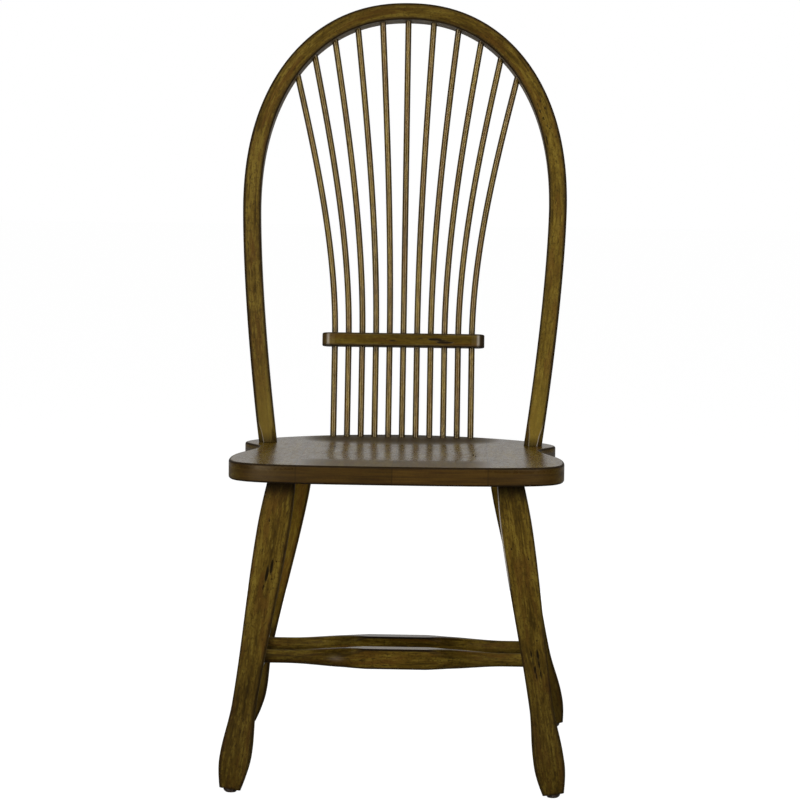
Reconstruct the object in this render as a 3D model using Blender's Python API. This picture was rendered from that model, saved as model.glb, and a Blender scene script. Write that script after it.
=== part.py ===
"""Sheaf back dining chair.

A bent bow and a sheaf of flexed spindles stand on a dished seat. Four splayed legs carry the seat, tied by two side
stretchers and two cross stretchers, and a domed glide is pressed into each foot. Every joint is a round tenon in a
drilled socket. Sizes are metres. Seen from the front, +X runs to the right, +Y away to the back and +Z up.
"""

import math

import bmesh
import bpy
import numpy as np

for leftover in list(bpy.data.objects):
    bpy.data.objects.remove(leftover, do_unlink=True)

# Fits
CLEARANCE = 0.0003
SOCKET_FLOOR = 0.009

# Seat: its plan is measured from the middle of the panel, y towards the back
SEAT_HEIGHT = 0.4615
SEAT_THICKNESS = 0.026
SEAT_EDGE_RADIUS = 0.003
SEAT_DISH_DEPTH = 0.006
SEAT_FRONT_Y = -0.210
SEAT_BACK_Y = 0.215
SEAT_WIDTH = 0.469
SEAT_LOBE_Y = -0.118
SEAT_WAIST_INSET = 0.030
SEAT_WAIST_Y = 0.024
SEAT_EAR_INSET = 0.0055
SEAT_EAR_Y = 0.085
SEAT_FRONT_HANDLE = 0.220
SEAT_FRONT_CORNER_HANDLE = 0.075
SEAT_LOBE_HANDLE = 0.070
SEAT_WAIST_HANDLE = 0.045
SEAT_EAR_HANDLE = 0.022
SEAT_BACK_CORNER_HANDLE = 0.055
SEAT_BACK_HANDLE = 0.110

# The dish fades out from its floor to its rim, as shares of the way from the seat's middle to its edge
SEAT_DISH_FLOOR = 0.18
SEAT_DISH_RIM = 0.78

# Bow: its centre line is measured in its own raked plane
OVERALL_HEIGHT = 1.118
BOW_RAKE_DEGREES = 18.15
BOW_WIDTH = 0.0265
BOW_DEPTH = 0.0215
BOW_EDGE_RADIUS = 0.0022
BOW_FOOT_EDGE_RADIUS = 0.0075
BOW_FOOT_RUN = 0.040
BOW_BASE_INSET = 0.039
BOW_FLARE = 0.035
BOW_WIDEST_RISE = 0.3705
BOW_FLARE_POWER = 1.5
BOW_CROWN_POWER = 2.2
BOW_TENON_DIAMETER = 0.016

# Spindles and the rail that gathers them
SPINDLE_COUNT = 11
SPINDLE_DIAMETER = 0.0095
SPINDLE_PITCH = 0.02075
SPINDLE_SETBACK = 0.035
SPINDLE_CROWN_PITCH = 0.040
RAIL_RISE = 0.1445
RAIL_HEIGHT = 0.020
RAIL_DEPTH = 0.024
RAIL_END_MARGIN = 0.0192
RAIL_CORNER_RUN = 0.0125
RAIL_CORNER_DEPTH = 0.0118
RAIL_EDGE_RADIUS = 0.0018

# Legs: widths seen from the front, heights above the floor
LEG_TOP_WIDTH = 0.0378
LEG_SHOULDER_WIDTH = 0.0446
LEG_SHOULDER_DEPTH = 0.038
LEG_ANKLE_WIDTH = 0.033
LEG_PAD_WIDTH = 0.0425
LEG_SOLE_WIDTH = 0.0295
LEG_SHOULDER_DROP = 0.070
LEG_ANKLE_HEIGHT = 0.125
LEG_PAD_HEIGHT = 0.050
LEG_EDGE_RADIUS = 0.0032
LEG_TENON_DIAMETER = 0.022
FRONT_LEG_INSET = 0.0759
FRONT_LEG_SETBACK = 0.060
FRONT_LEG_SPLAY_OUT = 0.066
FRONT_LEG_SPLAY_FORWARD = 0.033
REAR_LEG_INSET = 0.0865
REAR_LEG_SETBACK = 0.085
REAR_LEG_SPLAY_OUT = 0.092
REAR_LEG_SPLAY_BACK = 0.147

# Stretchers: round at the ends, swelling to a flat sided middle
STRETCHER_HEIGHT = 0.160
STRETCHER_END_DIAMETER = 0.0193
STRETCHER_MIDDLE_HEIGHT = 0.0295
STRETCHER_MIDDLE_DEPTH = 0.024
STRETCHER_EDGE_RADIUS = 0.0018
STRETCHER_FULL_HALF_LENGTH = 0.060
STRETCHER_SWELL_HALF_LENGTH = 0.160
STRETCHER_FACET_HALF_LENGTH = 0.074
STRETCHER_FACET_RUN = 0.030
CROSS_STRETCHER_SETBACK = 0.155
CROSS_STRETCHER_GAP = 0.0993

# Glides
GLIDE_DIAMETER = 0.019
GLIDE_HEIGHT = 0.006
GLIDE_RIM_HEIGHT = 0.0026
GLIDE_DOME_DROP = 0.0078
GLIDE_STEM_DIAMETER = 0.008
GLIDE_STEM_LENGTH = 0.016

# Mesh fineness
CORNER_POINTS = 3
ROD_SIDES = 10
BORE_SIDES = 16
BOW_STATIONS = 62
BOW_FOOT_STATIONS = 3
BOW_LINE_STEPS = 300
SPINDLE_STATIONS = 11
STRETCHER_STATIONS = 27
SEAT_DISH_RINGS = 6
SMOOTH_ANGLE = math.radians(40)

# Colours
STAINED_WOOD = (0.098, 0.058, 0.011, 1.0)
BROWN_PLASTIC = (0.018, 0.010, 0.006, 1.0)

UP = np.array((0.0, 0.0, 1.0))
BACKWARDS = np.array((0.0, 1.0, 0.0))
SEAT_HALF_WIDTH = SEAT_WIDTH / 2
SEAT_UNDERSIDE = SEAT_HEIGHT - SEAT_THICKNESS
SOCKET_DEPTH = SEAT_THICKNESS - SOCKET_FLOOR
RAKE = math.radians(BOW_RAKE_DEGREES)

chair = bpy.data.objects.new("chair", None)
bpy.context.scene.collection.objects.link(chair)


def ease(share):
    """Half a cosine wave from 0 to 1."""
    return 0.5 - 0.5 * math.cos(math.pi * min(max(share, 0.0), 1.0))


def unit(vector):
    return np.asarray(vector, dtype=float) / np.linalg.norm(vector)


def make_material(name, colour, roughness):
    material = bpy.data.materials.new(name)
    material.use_nodes = True
    shader = material.node_tree.nodes["Principled BSDF"]
    shader.inputs["Base Color"].default_value = colour
    shader.inputs["Roughness"].default_value = roughness
    shader.inputs["Metallic"].default_value = 0.0
    return material


def rounded_section(half_width, half_depth, radius, run=None):
    """A closed outline, rectangular with round corners, or a circle where all three sizes are equal.

    A run makes the corners oval: it is their length along the width, and the radius then their length along the depth.
    """
    run = radius if run is None else run
    points = []
    for quadrant, (side, front) in enumerate(((1, 1), (-1, 1), (-1, -1), (1, -1))):
        for step in range(CORNER_POINTS):
            angle = math.pi / 2 * (quadrant + (step + 0.5) / CORNER_POINTS)
            across = side * (half_width - run) + run * math.cos(angle)
            along = front * (half_depth - radius) + radius * math.sin(angle)
            points.append((across, along))
    return np.array(points)


def circle(radius, sides):
    angles = (np.arange(sides) + 0.5) * 2 * math.pi / sides
    return radius * np.column_stack((np.cos(angles), np.sin(angles)))


def place(section, centre, across, along):
    return centre + np.outer(section[:, 0], across) + np.outer(section[:, 1], along)


def frame_across(direction):
    """Two unit vectors square to a direction."""
    guide = (0.0, 1.0, 0.0) if abs(direction[0]) > 0.9 else (1.0, 0.0, 0.0)
    side = unit(np.cross(guide, direction))
    return side, np.cross(direction, side)


def slide_to_height(ring, direction, height):
    """Slides each point of a ring along a direction until it lies at one height."""
    return ring + np.outer((height - ring[:, 2]) / direction[2], direction)


def add_rings(mesh, rings, anchor):
    """Skins a run of rings and closes both ends."""
    loops = [[mesh.verts.new(tuple(point - anchor)) for point in ring] for ring in rings]
    count = len(loops[0])
    for lower, upper in zip(loops, loops[1:]):
        for k in range(count):
            mesh.faces.new((lower[k], lower[(k + 1) % count], upper[(k + 1) % count], upper[k]))
    mesh.faces.new(loops[0][::-1])
    mesh.faces.new(loops[-1])


def finish_object(name, mesh, anchor):
    """Makes a parented object, at its anchor, from a bmesh."""
    bmesh.ops.recalc_face_normals(mesh, faces=mesh.faces)
    data = bpy.data.meshes.new(name)
    mesh.to_mesh(data)
    mesh.free()
    piece = bpy.data.objects.new(name, data)
    piece.location = anchor
    piece.parent = chair
    bpy.context.scene.collection.objects.link(piece)
    return piece


def solid(name, rings, material, anchor):
    anchor = np.asarray(anchor, dtype=float)
    mesh = bmesh.new()
    add_rings(mesh, rings, anchor)
    piece = finish_object(name, mesh, anchor)
    piece.data.shade_smooth()
    piece.data.set_sharp_from_angle(angle=SMOOTH_ANGLE)
    piece.data.materials.append(material)
    return piece


def bore(start, end, diameter, level_ends=False):
    """Rings of a drilled hole that clears a round piece of this diameter, with level or square ends."""
    start, end = np.asarray(start, dtype=float), np.asarray(end, dtype=float)
    direction = unit(end - start)
    radius = (diameter / 2 + CLEARANCE) / math.cos(math.pi / BORE_SIDES)
    section = circle(radius, BORE_SIDES)
    rings = [place(section, centre, *frame_across(direction)) for centre in (start, end)]
    if level_ends:
        rings = [slide_to_height(ring, direction, centre[2]) for ring, centre in zip(rings, (start, end))]
    return rings


def drill(piece, bores):
    """Cuts holes through a piece with one hidden cutter."""
    mesh = bmesh.new()
    anchor = np.array(piece.location)
    for rings in bores:
        add_rings(mesh, rings, anchor)
    cutter = finish_object(piece.name + "_cutter", mesh, anchor)
    cutter.hide_render = True
    cutter.display_type = "WIRE"
    cut = piece.modifiers.new("sockets", "BOOLEAN")
    cut.operation = "DIFFERENCE"
    cut.solver = "EXACT"
    cut.object = cutter


def bezier(start, start_handle, end_handle, end, steps):
    """Points of a cubic curve, without its last one."""
    t = np.linspace(0.0, 1.0, steps, endpoint=False)[:, None]
    corners = [np.asarray(point, dtype=float) for point in (start, start_handle, end_handle, end)]
    weights = ((1 - t) ** 3, 3 * t * (1 - t) ** 2, 3 * t ** 2 * (1 - t), t ** 3)
    return sum(weight * corner for weight, corner in zip(weights, corners))


# Seat


def seat_plan():
    """The seat's closed outline: a shallow front, broad lobes, a waist, ears and a round back."""
    front = (0.0, SEAT_FRONT_Y)
    lobe = np.array((SEAT_HALF_WIDTH, SEAT_LOBE_Y))
    waist = np.array((SEAT_HALF_WIDTH - SEAT_WAIST_INSET, SEAT_WAIST_Y))
    ear = np.array((SEAT_HALF_WIDTH - SEAT_EAR_INSET, SEAT_EAR_Y))
    back = (0.0, SEAT_BACK_Y)
    rise = np.array((0.0, 1.0))
    right = np.vstack((
        bezier(front, (SEAT_FRONT_HANDLE, SEAT_FRONT_Y), lobe - SEAT_FRONT_CORNER_HANDLE * rise, lobe, 11),
        bezier(lobe, lobe + SEAT_LOBE_HANDLE * rise, waist - SEAT_WAIST_HANDLE * rise, waist, 6),
        bezier(waist, waist + SEAT_EAR_HANDLE * rise, ear - SEAT_EAR_HANDLE * rise, ear, 5),
        bezier(ear, ear + SEAT_BACK_CORNER_HANDLE * rise, (SEAT_BACK_HANDLE, SEAT_BACK_Y), back, 10),
        [back],
    ))
    left = right[-2:0:-1] * (-1.0, 1.0)
    return np.vstack((right, left))


def inset(plan, distance):
    """Moves an outline inwards, square to itself."""
    run = np.roll(plan, -1, axis=0) - np.roll(plan, 1, axis=0)
    outward = np.column_stack((run[:, 1], -run[:, 0])) / np.linalg.norm(run, axis=1)[:, None]
    return plan - distance * outward


def seat_rings():
    """Underside, rounded edges and a dish that fades out before the sockets of the back."""
    plan = seat_plan()
    rings = []

    def add(outline, height):
        rings.append(np.column_stack((outline, np.full(len(outline), height))))

    turns = np.radians((0.0, 30.0, 60.0, 90.0))
    for turn in turns:
        depth = SEAT_EDGE_RADIUS * (1 - math.cos(turn))
        add(inset(plan, SEAT_EDGE_RADIUS * (1 - math.sin(turn))), SEAT_UNDERSIDE + depth)
    for turn in turns[::-1]:
        depth = SEAT_EDGE_RADIUS * (1 - math.cos(turn))
        add(inset(plan, SEAT_EDGE_RADIUS * (1 - math.sin(turn))), SEAT_HEIGHT - depth)
    for share in np.linspace(SEAT_DISH_RIM, SEAT_DISH_FLOOR, SEAT_DISH_RINGS):
        drop = SEAT_DISH_DEPTH * ease((SEAT_DISH_RIM - share) / (SEAT_DISH_RIM - SEAT_DISH_FLOOR))
        add(plan * share, SEAT_HEIGHT - drop)
    return rings


# Legs


class Leg:
    """One leg's axis, from the seat's underside to the middle of its sole."""

    def __init__(self, side, top_x, top_y, out, back):
        self.top = np.array((side * top_x, top_y, SEAT_UNDERSIDE))
        self.sole = np.array((side * (top_x + out), top_y + back, GLIDE_HEIGHT))
        self.direction = unit(self.top - self.sole)
        self.side_slope = (self.sole[0] - self.top[0]) / (self.top[2] - self.sole[2])
        self.sole_up = unit((-self.side_slope, 0.0, 1.0))

    def at_height(self, height):
        share = (self.top[2] - height) / (self.top[2] - self.sole[2])
        return self.top + share * (self.sole - self.top)


def make_legs():
    front_x = SEAT_HALF_WIDTH - FRONT_LEG_INSET
    front_y = SEAT_FRONT_Y + FRONT_LEG_SETBACK
    rear_x = SEAT_HALF_WIDTH - REAR_LEG_INSET
    rear_y = SEAT_BACK_Y - REAR_LEG_SETBACK
    legs = {}
    for side_name, side in (("left", -1), ("right", 1)):
        front = Leg(side, front_x, front_y, FRONT_LEG_SPLAY_OUT, -FRONT_LEG_SPLAY_FORWARD)
        rear = Leg(side, rear_x, rear_y, REAR_LEG_SPLAY_OUT, REAR_LEG_SPLAY_BACK)
        legs["front", side_name] = front
        legs["rear", side_name] = rear
    return legs


def leg_stations():
    """Height and width down a leg: shoulder, slim ankle, swelling pad and a sole drawn in below it."""
    shoulder_height = SEAT_UNDERSIDE - LEG_SHOULDER_DROP
    runs = (
        (LEG_PAD_HEIGHT, LEG_PAD_WIDTH, GLIDE_HEIGHT, LEG_SOLE_WIDTH, lambda u: 1 - math.cos(math.pi / 2 * u), 6),
        (LEG_ANKLE_HEIGHT, LEG_ANKLE_WIDTH, LEG_PAD_HEIGHT, LEG_PAD_WIDTH, ease, 6),
        (shoulder_height, LEG_SHOULDER_WIDTH, LEG_ANKLE_HEIGHT, LEG_ANKLE_WIDTH, ease, 7),
        (SEAT_UNDERSIDE - CLEARANCE, LEG_TOP_WIDTH, shoulder_height, LEG_SHOULDER_WIDTH,
         lambda u: math.sin(math.pi / 2 * u), 4),
    )
    stations = []
    for high, high_width, low, low_width, curve, steps in runs:
        for u in np.linspace(1.0, 0.0, steps, endpoint=False):
            stations.append((high + (low - high) * u, high_width + (low_width - high_width) * curve(u)))
    stations.append((SEAT_UNDERSIDE - CLEARANCE, LEG_TOP_WIDTH))
    return stations


def leg_rings(leg):
    """Level sections at the seat that turn square to the leg, seen from the front, at its sole."""
    rings = []
    for height, width in leg_stations():
        share = (leg.top[2] - height) / (leg.top[2] - leg.sole[2])
        across = np.array((1.0, 0.0, leg.side_slope * share))
        half_width = width / 2
        half_depth = half_width * LEG_SHOULDER_DEPTH / LEG_SHOULDER_WIDTH
        section = rounded_section(half_width, half_depth, min(LEG_EDGE_RADIUS, half_depth))
        rings.append(place(section, leg.at_height(height), across, BACKWARDS))
    tenon_radius = LEG_TENON_DIAMETER / 2
    tenon = rounded_section(tenon_radius, tenon_radius, tenon_radius)
    across = unit(np.cross(BACKWARDS, leg.direction))
    for height in (SEAT_UNDERSIDE - CLEARANCE, SEAT_UNDERSIDE + SOCKET_DEPTH):
        ring = place(tenon, leg.at_height(height), across, np.cross(leg.direction, across))
        rings.append(slide_to_height(ring, leg.direction, height))
    return rings


# Glides


def make_glide(name, leg, material):
    """A domed head with a stem, worn level where it meets the floor."""
    head, stem = GLIDE_DIAMETER / 2, GLIDE_STEM_DIAMETER / 2
    chamfer = stem / 4
    profile = [
        (-GLIDE_STEM_LENGTH, stem - chamfer),
        (chamfer - GLIDE_STEM_LENGTH, stem),
        (CLEARANCE, stem),
        (CLEARANCE, head - chamfer),
        (CLEARANCE + chamfer / 2, head),
    ]
    for turn in np.radians((0, 25, 50, 70, 83)):
        drop = GLIDE_RIM_HEIGHT + (GLIDE_DOME_DROP - GLIDE_RIM_HEIGHT) * math.sin(turn)
        profile.append((drop, head * math.cos(turn)))
    across, along = frame_across(leg.sole_up)
    mesh = bmesh.new()
    rings = [place(circle(r, BORE_SIDES), leg.sole - drop * leg.sole_up, across, along) for drop, r in profile]
    add_rings(mesh, rings, leg.sole)
    everything = mesh.verts[:] + mesh.edges[:] + mesh.faces[:]
    floor = (0.0, 0.0, -leg.sole[2])
    bmesh.ops.bisect_plane(mesh, geom=everything, plane_co=floor, plane_no=(0.0, 0.0, 1.0), clear_inner=True)
    open_edges = [edge for edge in mesh.edges if edge.is_boundary]
    bmesh.ops.edgeloop_fill(mesh, edges=open_edges)
    piece = finish_object(name, mesh, leg.sole)
    piece.data.shade_smooth()
    piece.data.set_sharp_from_angle(angle=SMOOTH_ANGLE)
    piece.data.materials.append(material)


def glide_bore(leg):
    top = leg.sole + (GLIDE_STEM_LENGTH + CLEARANCE) * leg.sole_up
    return bore(leg.sole - GLIDE_STEM_LENGTH * leg.sole_up, top, GLIDE_STEM_DIAMETER)


# Stretchers


def stretcher_rings(start, end):
    """Round ends, an oval swell and a middle with flat faces that end in points."""
    middle, direction = (start + end) / 2, unit(end - start)
    half_length = np.linalg.norm(end - start) / 2
    across = unit(np.cross(direction, UP))
    end_radius = STRETCHER_END_DIAMETER / 2
    rings = []
    for reach in half_length * np.linspace(-1.0, 1.0, STRETCHER_STATIONS):
        swell_run = STRETCHER_SWELL_HALF_LENGTH - STRETCHER_FULL_HALF_LENGTH
        swell = ease((STRETCHER_SWELL_HALF_LENGTH - abs(reach)) / swell_run)
        half_height = end_radius + (STRETCHER_MIDDLE_HEIGHT / 2 - end_radius) * swell
        half_depth = end_radius + (STRETCHER_MIDDLE_DEPTH / 2 - end_radius) * swell
        facet = min(max((STRETCHER_FACET_HALF_LENGTH - abs(reach)) / STRETCHER_FACET_RUN, 0.0), 1.0)
        round_corner = min(half_height, half_depth)
        corner = round_corner + (STRETCHER_EDGE_RADIUS - round_corner) * facet
        section = rounded_section(half_depth, half_height, corner)
        rings.append(place(section, middle + reach * direction, across, UP))
    return rings


def socket_at_axis(axis_point, towards):
    """A stretcher's socket: it starts at the axis of the piece that holds it and runs out along the stretcher."""
    direction = unit(towards - axis_point)
    mouth = axis_point + 2 * LEG_SHOULDER_WIDTH * direction
    return bore(axis_point - CLEARANCE * direction, mouth, STRETCHER_END_DIAMETER)


# Bow


def bow_half_line():
    """Half of the bow's centre line in its plane, from the seat to the crown, as x and rise."""
    half_span = SEAT_HALF_WIDTH - BOW_BASE_INSET + BOW_FLARE
    reach = BOW_WIDTH / 2 - BOW_EDGE_RADIUS
    lean = BOW_DEPTH / 2 - BOW_EDGE_RADIUS
    cap = reach * math.cos(RAKE) + lean * math.sin(RAKE) + BOW_EDGE_RADIUS
    crown = (OVERALL_HEIGHT - SEAT_HEIGHT - cap) / math.cos(RAKE)
    share = np.linspace(0.0, 1.0, BOW_LINE_STEPS, endpoint=False)
    flare = half_span - BOW_FLARE * (1 - share) ** BOW_FLARE_POWER
    limb = np.column_stack((flare, BOW_WIDEST_RISE * share))
    turn = np.linspace(0.0, math.pi / 2, BOW_LINE_STEPS)
    power = 2 / BOW_CROWN_POWER
    side = half_span * np.clip(np.cos(turn), 0.0, None) ** power
    top = BOW_WIDEST_RISE + (crown - BOW_WIDEST_RISE) * np.sin(turn) ** power
    return np.vstack((limb, np.column_stack((side, top))))


class BowLine:
    """The bow's centre line by its length, from the right foot over the crown to the left foot."""

    def __init__(self):
        right = bow_half_line()
        self.flat = np.vstack((right, right[-2::-1] * (-1.0, 1.0)))
        steps = np.linalg.norm(np.diff(self.flat, axis=0), axis=1)
        self.run = np.concatenate(([0.0], np.cumsum(steps)))
        self.length = self.run[-1]
        self.front = np.array((0.0, -math.cos(RAKE), math.sin(RAKE)))

    def to_world(self, flat):
        tilt = np.array(((1.0, 0.0, 0.0), (0.0, math.sin(RAKE), math.cos(RAKE))))
        return np.array((0.0, SEAT_EAR_Y, SEAT_HEIGHT)) + np.asarray(flat) @ tilt

    def point(self, run):
        flat = [np.interp(run, self.run, self.flat[:, k]) for k in (0, 1)]
        return self.to_world(flat)

    def direction(self, run):
        step = BOW_WIDTH / 4
        low, high = max(run - step, 0.0), min(run + step, self.length)
        return unit(self.point(high) - self.point(low))


def bow_rings(line):
    """An even section whose arrises broaden at both feet."""
    tenon_radius = BOW_TENON_DIAMETER / 2
    tenon = rounded_section(tenon_radius, tenon_radius, tenon_radius)
    near_foot = np.linspace(0.0, BOW_FOOT_RUN, BOW_FOOT_STATIONS, endpoint=False)[1:]
    between = np.linspace(BOW_FOOT_RUN, line.length - BOW_FOOT_RUN, BOW_STATIONS)
    runs = np.concatenate((near_foot, between, line.length - near_foot[::-1]))

    def section(run):
        rise = ease(min(run, line.length - run) / BOW_FOOT_RUN)
        radius = BOW_FOOT_EDGE_RADIUS + (BOW_EDGE_RADIUS - BOW_FOOT_EDGE_RADIUS) * rise
        return rounded_section(BOW_WIDTH / 2, BOW_DEPTH / 2, radius)

    def ring(outline, run):
        across = np.cross(line.direction(run), line.front)
        return place(outline, line.point(run), across, line.front)

    def foot(run):
        """Tenon end, tenon root and the shoulder that sits on the seat."""
        direction = line.direction(run)
        return [
            slide_to_height(ring(tenon, run), direction, SEAT_HEIGHT - SOCKET_DEPTH),
            slide_to_height(ring(tenon, run), direction, SEAT_HEIGHT + CLEARANCE),
            slide_to_height(ring(section(run), run), direction, SEAT_HEIGHT + CLEARANCE),
        ]

    return foot(0.0) + [ring(section(run), run) for run in runs] + foot(line.length)[::-1]


def bow_socket(line, run):
    centre, direction = line.point(run), line.direction(run)
    direction = direction * np.sign(direction[2])
    above = centre + direction * SEAT_THICKNESS
    below = centre - direction * (SOCKET_DEPTH + CLEARANCE) / direction[2]
    return bore(below, above, BOW_TENON_DIAMETER, level_ends=True)


# Spindles and back rail


class Spindle:
    """One rod: straight from the seat through the rail, then flexed like a clamped beam to its place in the bow."""

    def __init__(self, place_from_middle, line):
        x = place_from_middle * SPINDLE_PITCH
        crown = line.point(line.length / 2)
        root = np.array((0.0, SEAT_BACK_Y - SPINDLE_SETBACK, SEAT_HEIGHT))
        self.lean = unit(crown - root)
        self.seat = root + np.array((x, 0.0, 0.0))
        self.rail = self.seat + self.lean * RAIL_RISE / self.lean[2]
        self.foot = self.seat - self.lean * SOCKET_DEPTH / self.lean[2]
        self.tip = line.point(line.length / 2 - place_from_middle * SPINDLE_CROWN_PITCH)
        span = self.tip - self.rail
        self.length = span @ self.lean
        self.bend = span - self.length * self.lean

    def path(self):
        flexed = []
        for share in np.linspace(0.0, 1.0, SPINDLE_STATIONS):
            bent = 0.5 * (3 * share ** 2 - share ** 3)
            flexed.append(self.rail + share * self.length * self.lean + bent * self.bend)
        return np.vstack((self.foot, self.seat, flexed))

    def tip_direction(self):
        return unit(self.length * self.lean + 1.5 * self.bend)

    def rings(self):
        path = self.path()
        runs = np.vstack((path[1] - path[0], path[2:] - path[:-2], self.tip_direction()))
        section = circle(SPINDLE_DIAMETER / 2, ROD_SIDES)
        return [place(section, point, *frame_across(unit(run))) for point, run in zip(path, runs)]

    def seat_bore(self):
        above = self.seat + self.lean * SEAT_THICKNESS
        return bore(self.foot - CLEARANCE * self.lean, above, SPINDLE_DIAMETER)

    def rail_bore(self):
        reach = RAIL_HEIGHT * self.lean
        return bore(self.rail - reach, self.rail + reach, SPINDLE_DIAMETER)

    def bow_bore(self):
        direction = self.tip_direction()
        return bore(self.tip - 1.5 * BOW_WIDTH * direction, self.tip + CLEARANCE * direction, SPINDLE_DIAMETER)


def rail_rings(spindles):
    """A bar with long round ends in plan and eased edges, square to the spindles."""
    centre = (spindles[0].rail + spindles[-1].rail) / 2
    lean = spindles[0].lean
    across, back = np.array((1.0, 0.0, 0.0)), np.cross(lean, (1.0, 0.0, 0.0))
    half_length = (spindles[-1].rail[0] - spindles[0].rail[0]) / 2 + RAIL_END_MARGIN
    half_height, half_depth = RAIL_HEIGHT / 2, RAIL_DEPTH / 2
    corner = min(RAIL_CORNER_DEPTH, half_depth)
    turns = np.radians((0.0, 40.0, 90.0))
    levels = [(-1, turn) for turn in turns] + [(1, turn) for turn in turns[::-1]]
    rings = []
    for end, turn in levels:
        draw_in = RAIL_EDGE_RADIUS * (1 - math.sin(turn))
        height = end * (half_height - RAIL_EDGE_RADIUS * (1 - math.cos(turn)))
        run = RAIL_CORNER_RUN - draw_in
        section = rounded_section(half_length - draw_in, half_depth - draw_in, corner - draw_in, run)
        rings.append(place(section, centre + height * lean, across, back))
    return rings


# Assembly


def build_chair():
    legs = make_legs()
    line = BowLine()
    half_count = (SPINDLE_COUNT - 1) / 2
    spindles = [Spindle(k - half_count, line) for k in range(SPINDLE_COUNT)]

    seat = solid("seat", seat_rings(), make_material("seat_wood", STAINED_WOOD, 0.35), (0.0, 0.0, SEAT_HEIGHT))
    seat_bores = [spindle.seat_bore() for spindle in spindles]
    seat_bores += [bow_socket(line, run) for run in (0.0, line.length)]
    for leg in legs.values():
        below = leg.at_height(SEAT_UNDERSIDE - SEAT_THICKNESS)
        above = leg.at_height(SEAT_UNDERSIDE + SOCKET_DEPTH + CLEARANCE)
        seat_bores.append(bore(below, above, LEG_TENON_DIAMETER, level_ends=True))
    drill(seat, seat_bores)

    bow_material = make_material("bow_wood", STAINED_WOOD, 0.4)
    bow = solid("bow", bow_rings(line), bow_material, line.point(line.length / 2))
    drill(bow, [spindle.bow_bore() for spindle in spindles])

    spindle_material = make_material("spindle_wood", STAINED_WOOD, 0.4)
    for number, spindle in enumerate(spindles, start=1):
        solid(f"spindle_{number:02d}", spindle.rings(), spindle_material, spindle.seat)
    rail_material = make_material("rail_wood", STAINED_WOOD, 0.4)
    rail = solid("back_rail", rail_rings(spindles), rail_material, (spindles[0].rail + spindles[-1].rail) / 2)
    drill(rail, [spindle.rail_bore() for spindle in spindles])

    leg_material = make_material("leg_wood", STAINED_WOOD, 0.4)
    stretcher_material = make_material("stretcher_wood", STAINED_WOOD, 0.4)
    glide_material = make_material("glide_plastic", BROWN_PLASTIC, 0.5)
    cross_ends = {"front": {}, "rear": {}}
    for side in ("left", "right"):
        front_joint = legs["front", side].at_height(STRETCHER_HEIGHT)
        rear_joint = legs["rear", side].at_height(STRETCHER_HEIGHT)
        run = unit(rear_joint - front_joint)
        front_cross = front_joint + run * CROSS_STRETCHER_SETBACK / run[1]
        cross_ends["front"][side] = front_cross
        cross_ends["rear"][side] = front_cross + run * CROSS_STRETCHER_GAP / run[1]
        for end, joint, other in (("front", front_joint, rear_joint), ("rear", rear_joint, front_joint)):
            leg = legs[end, side]
            piece = solid(f"{end}_leg_{side}", leg_rings(leg), leg_material, leg.top)
            drill(piece, [socket_at_axis(joint, other), glide_bore(leg)])
            make_glide(f"{end}_glide_{side}", leg, glide_material)
        rings = stretcher_rings(front_joint, rear_joint)
        stretcher = solid(f"side_stretcher_{side}", rings, stretcher_material, (front_joint + rear_joint) / 2)
        middle_of_chair = (0.0, 1.0, 1.0)
        joints = [ends[side] for ends in cross_ends.values()]
        drill(stretcher, [socket_at_axis(joint, joint * middle_of_chair) for joint in joints])
    for end, ends in cross_ends.items():
        middle = (ends["left"] + ends["right"]) / 2
        solid(f"cross_stretcher_{end}", stretcher_rings(ends["left"], ends["right"]), stretcher_material, middle)


def centre_on_floor():
    """Puts the chair's origin under the middle of its box."""
    depths = []
    for piece in chair.children:
        if not piece.hide_render:
            depths += [piece.location.y + vertex.co.y for vertex in piece.data.vertices]
    chair.location.y = -(min(depths) + max(depths)) / 2


build_chair()
centre_on_floor()
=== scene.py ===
"""Looks of the sheaf back dining chair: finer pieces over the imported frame, stained wood and a studio.

Sizes are metres and repeat those of the part's source, apart from the marks. Seen from the front, +X runs
to the right, +Y away to the back and +Z up. Shapes are worked out from the middle of the seat, and every
piece is then moved by ORIGIN_Y into the frame.
"""

import itertools
import math

import bpy
import numpy as np
from mathutils import Matrix, Vector


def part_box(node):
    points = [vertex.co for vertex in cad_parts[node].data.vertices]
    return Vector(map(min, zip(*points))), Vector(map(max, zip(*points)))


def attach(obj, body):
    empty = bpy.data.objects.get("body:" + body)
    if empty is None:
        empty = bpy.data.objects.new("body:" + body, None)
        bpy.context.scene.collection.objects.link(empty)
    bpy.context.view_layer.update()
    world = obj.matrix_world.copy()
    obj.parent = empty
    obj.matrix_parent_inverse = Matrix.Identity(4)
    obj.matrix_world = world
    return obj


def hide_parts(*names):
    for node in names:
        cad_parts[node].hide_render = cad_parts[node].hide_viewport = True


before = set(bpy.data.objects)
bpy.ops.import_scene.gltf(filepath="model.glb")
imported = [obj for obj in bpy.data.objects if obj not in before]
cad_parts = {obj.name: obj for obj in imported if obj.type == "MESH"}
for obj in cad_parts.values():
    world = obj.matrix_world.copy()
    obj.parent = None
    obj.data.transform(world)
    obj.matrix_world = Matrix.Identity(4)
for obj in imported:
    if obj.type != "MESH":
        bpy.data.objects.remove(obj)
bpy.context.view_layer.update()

# Fits
CLEARANCE = 0.0003
SOCKET_FLOOR = 0.009

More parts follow.
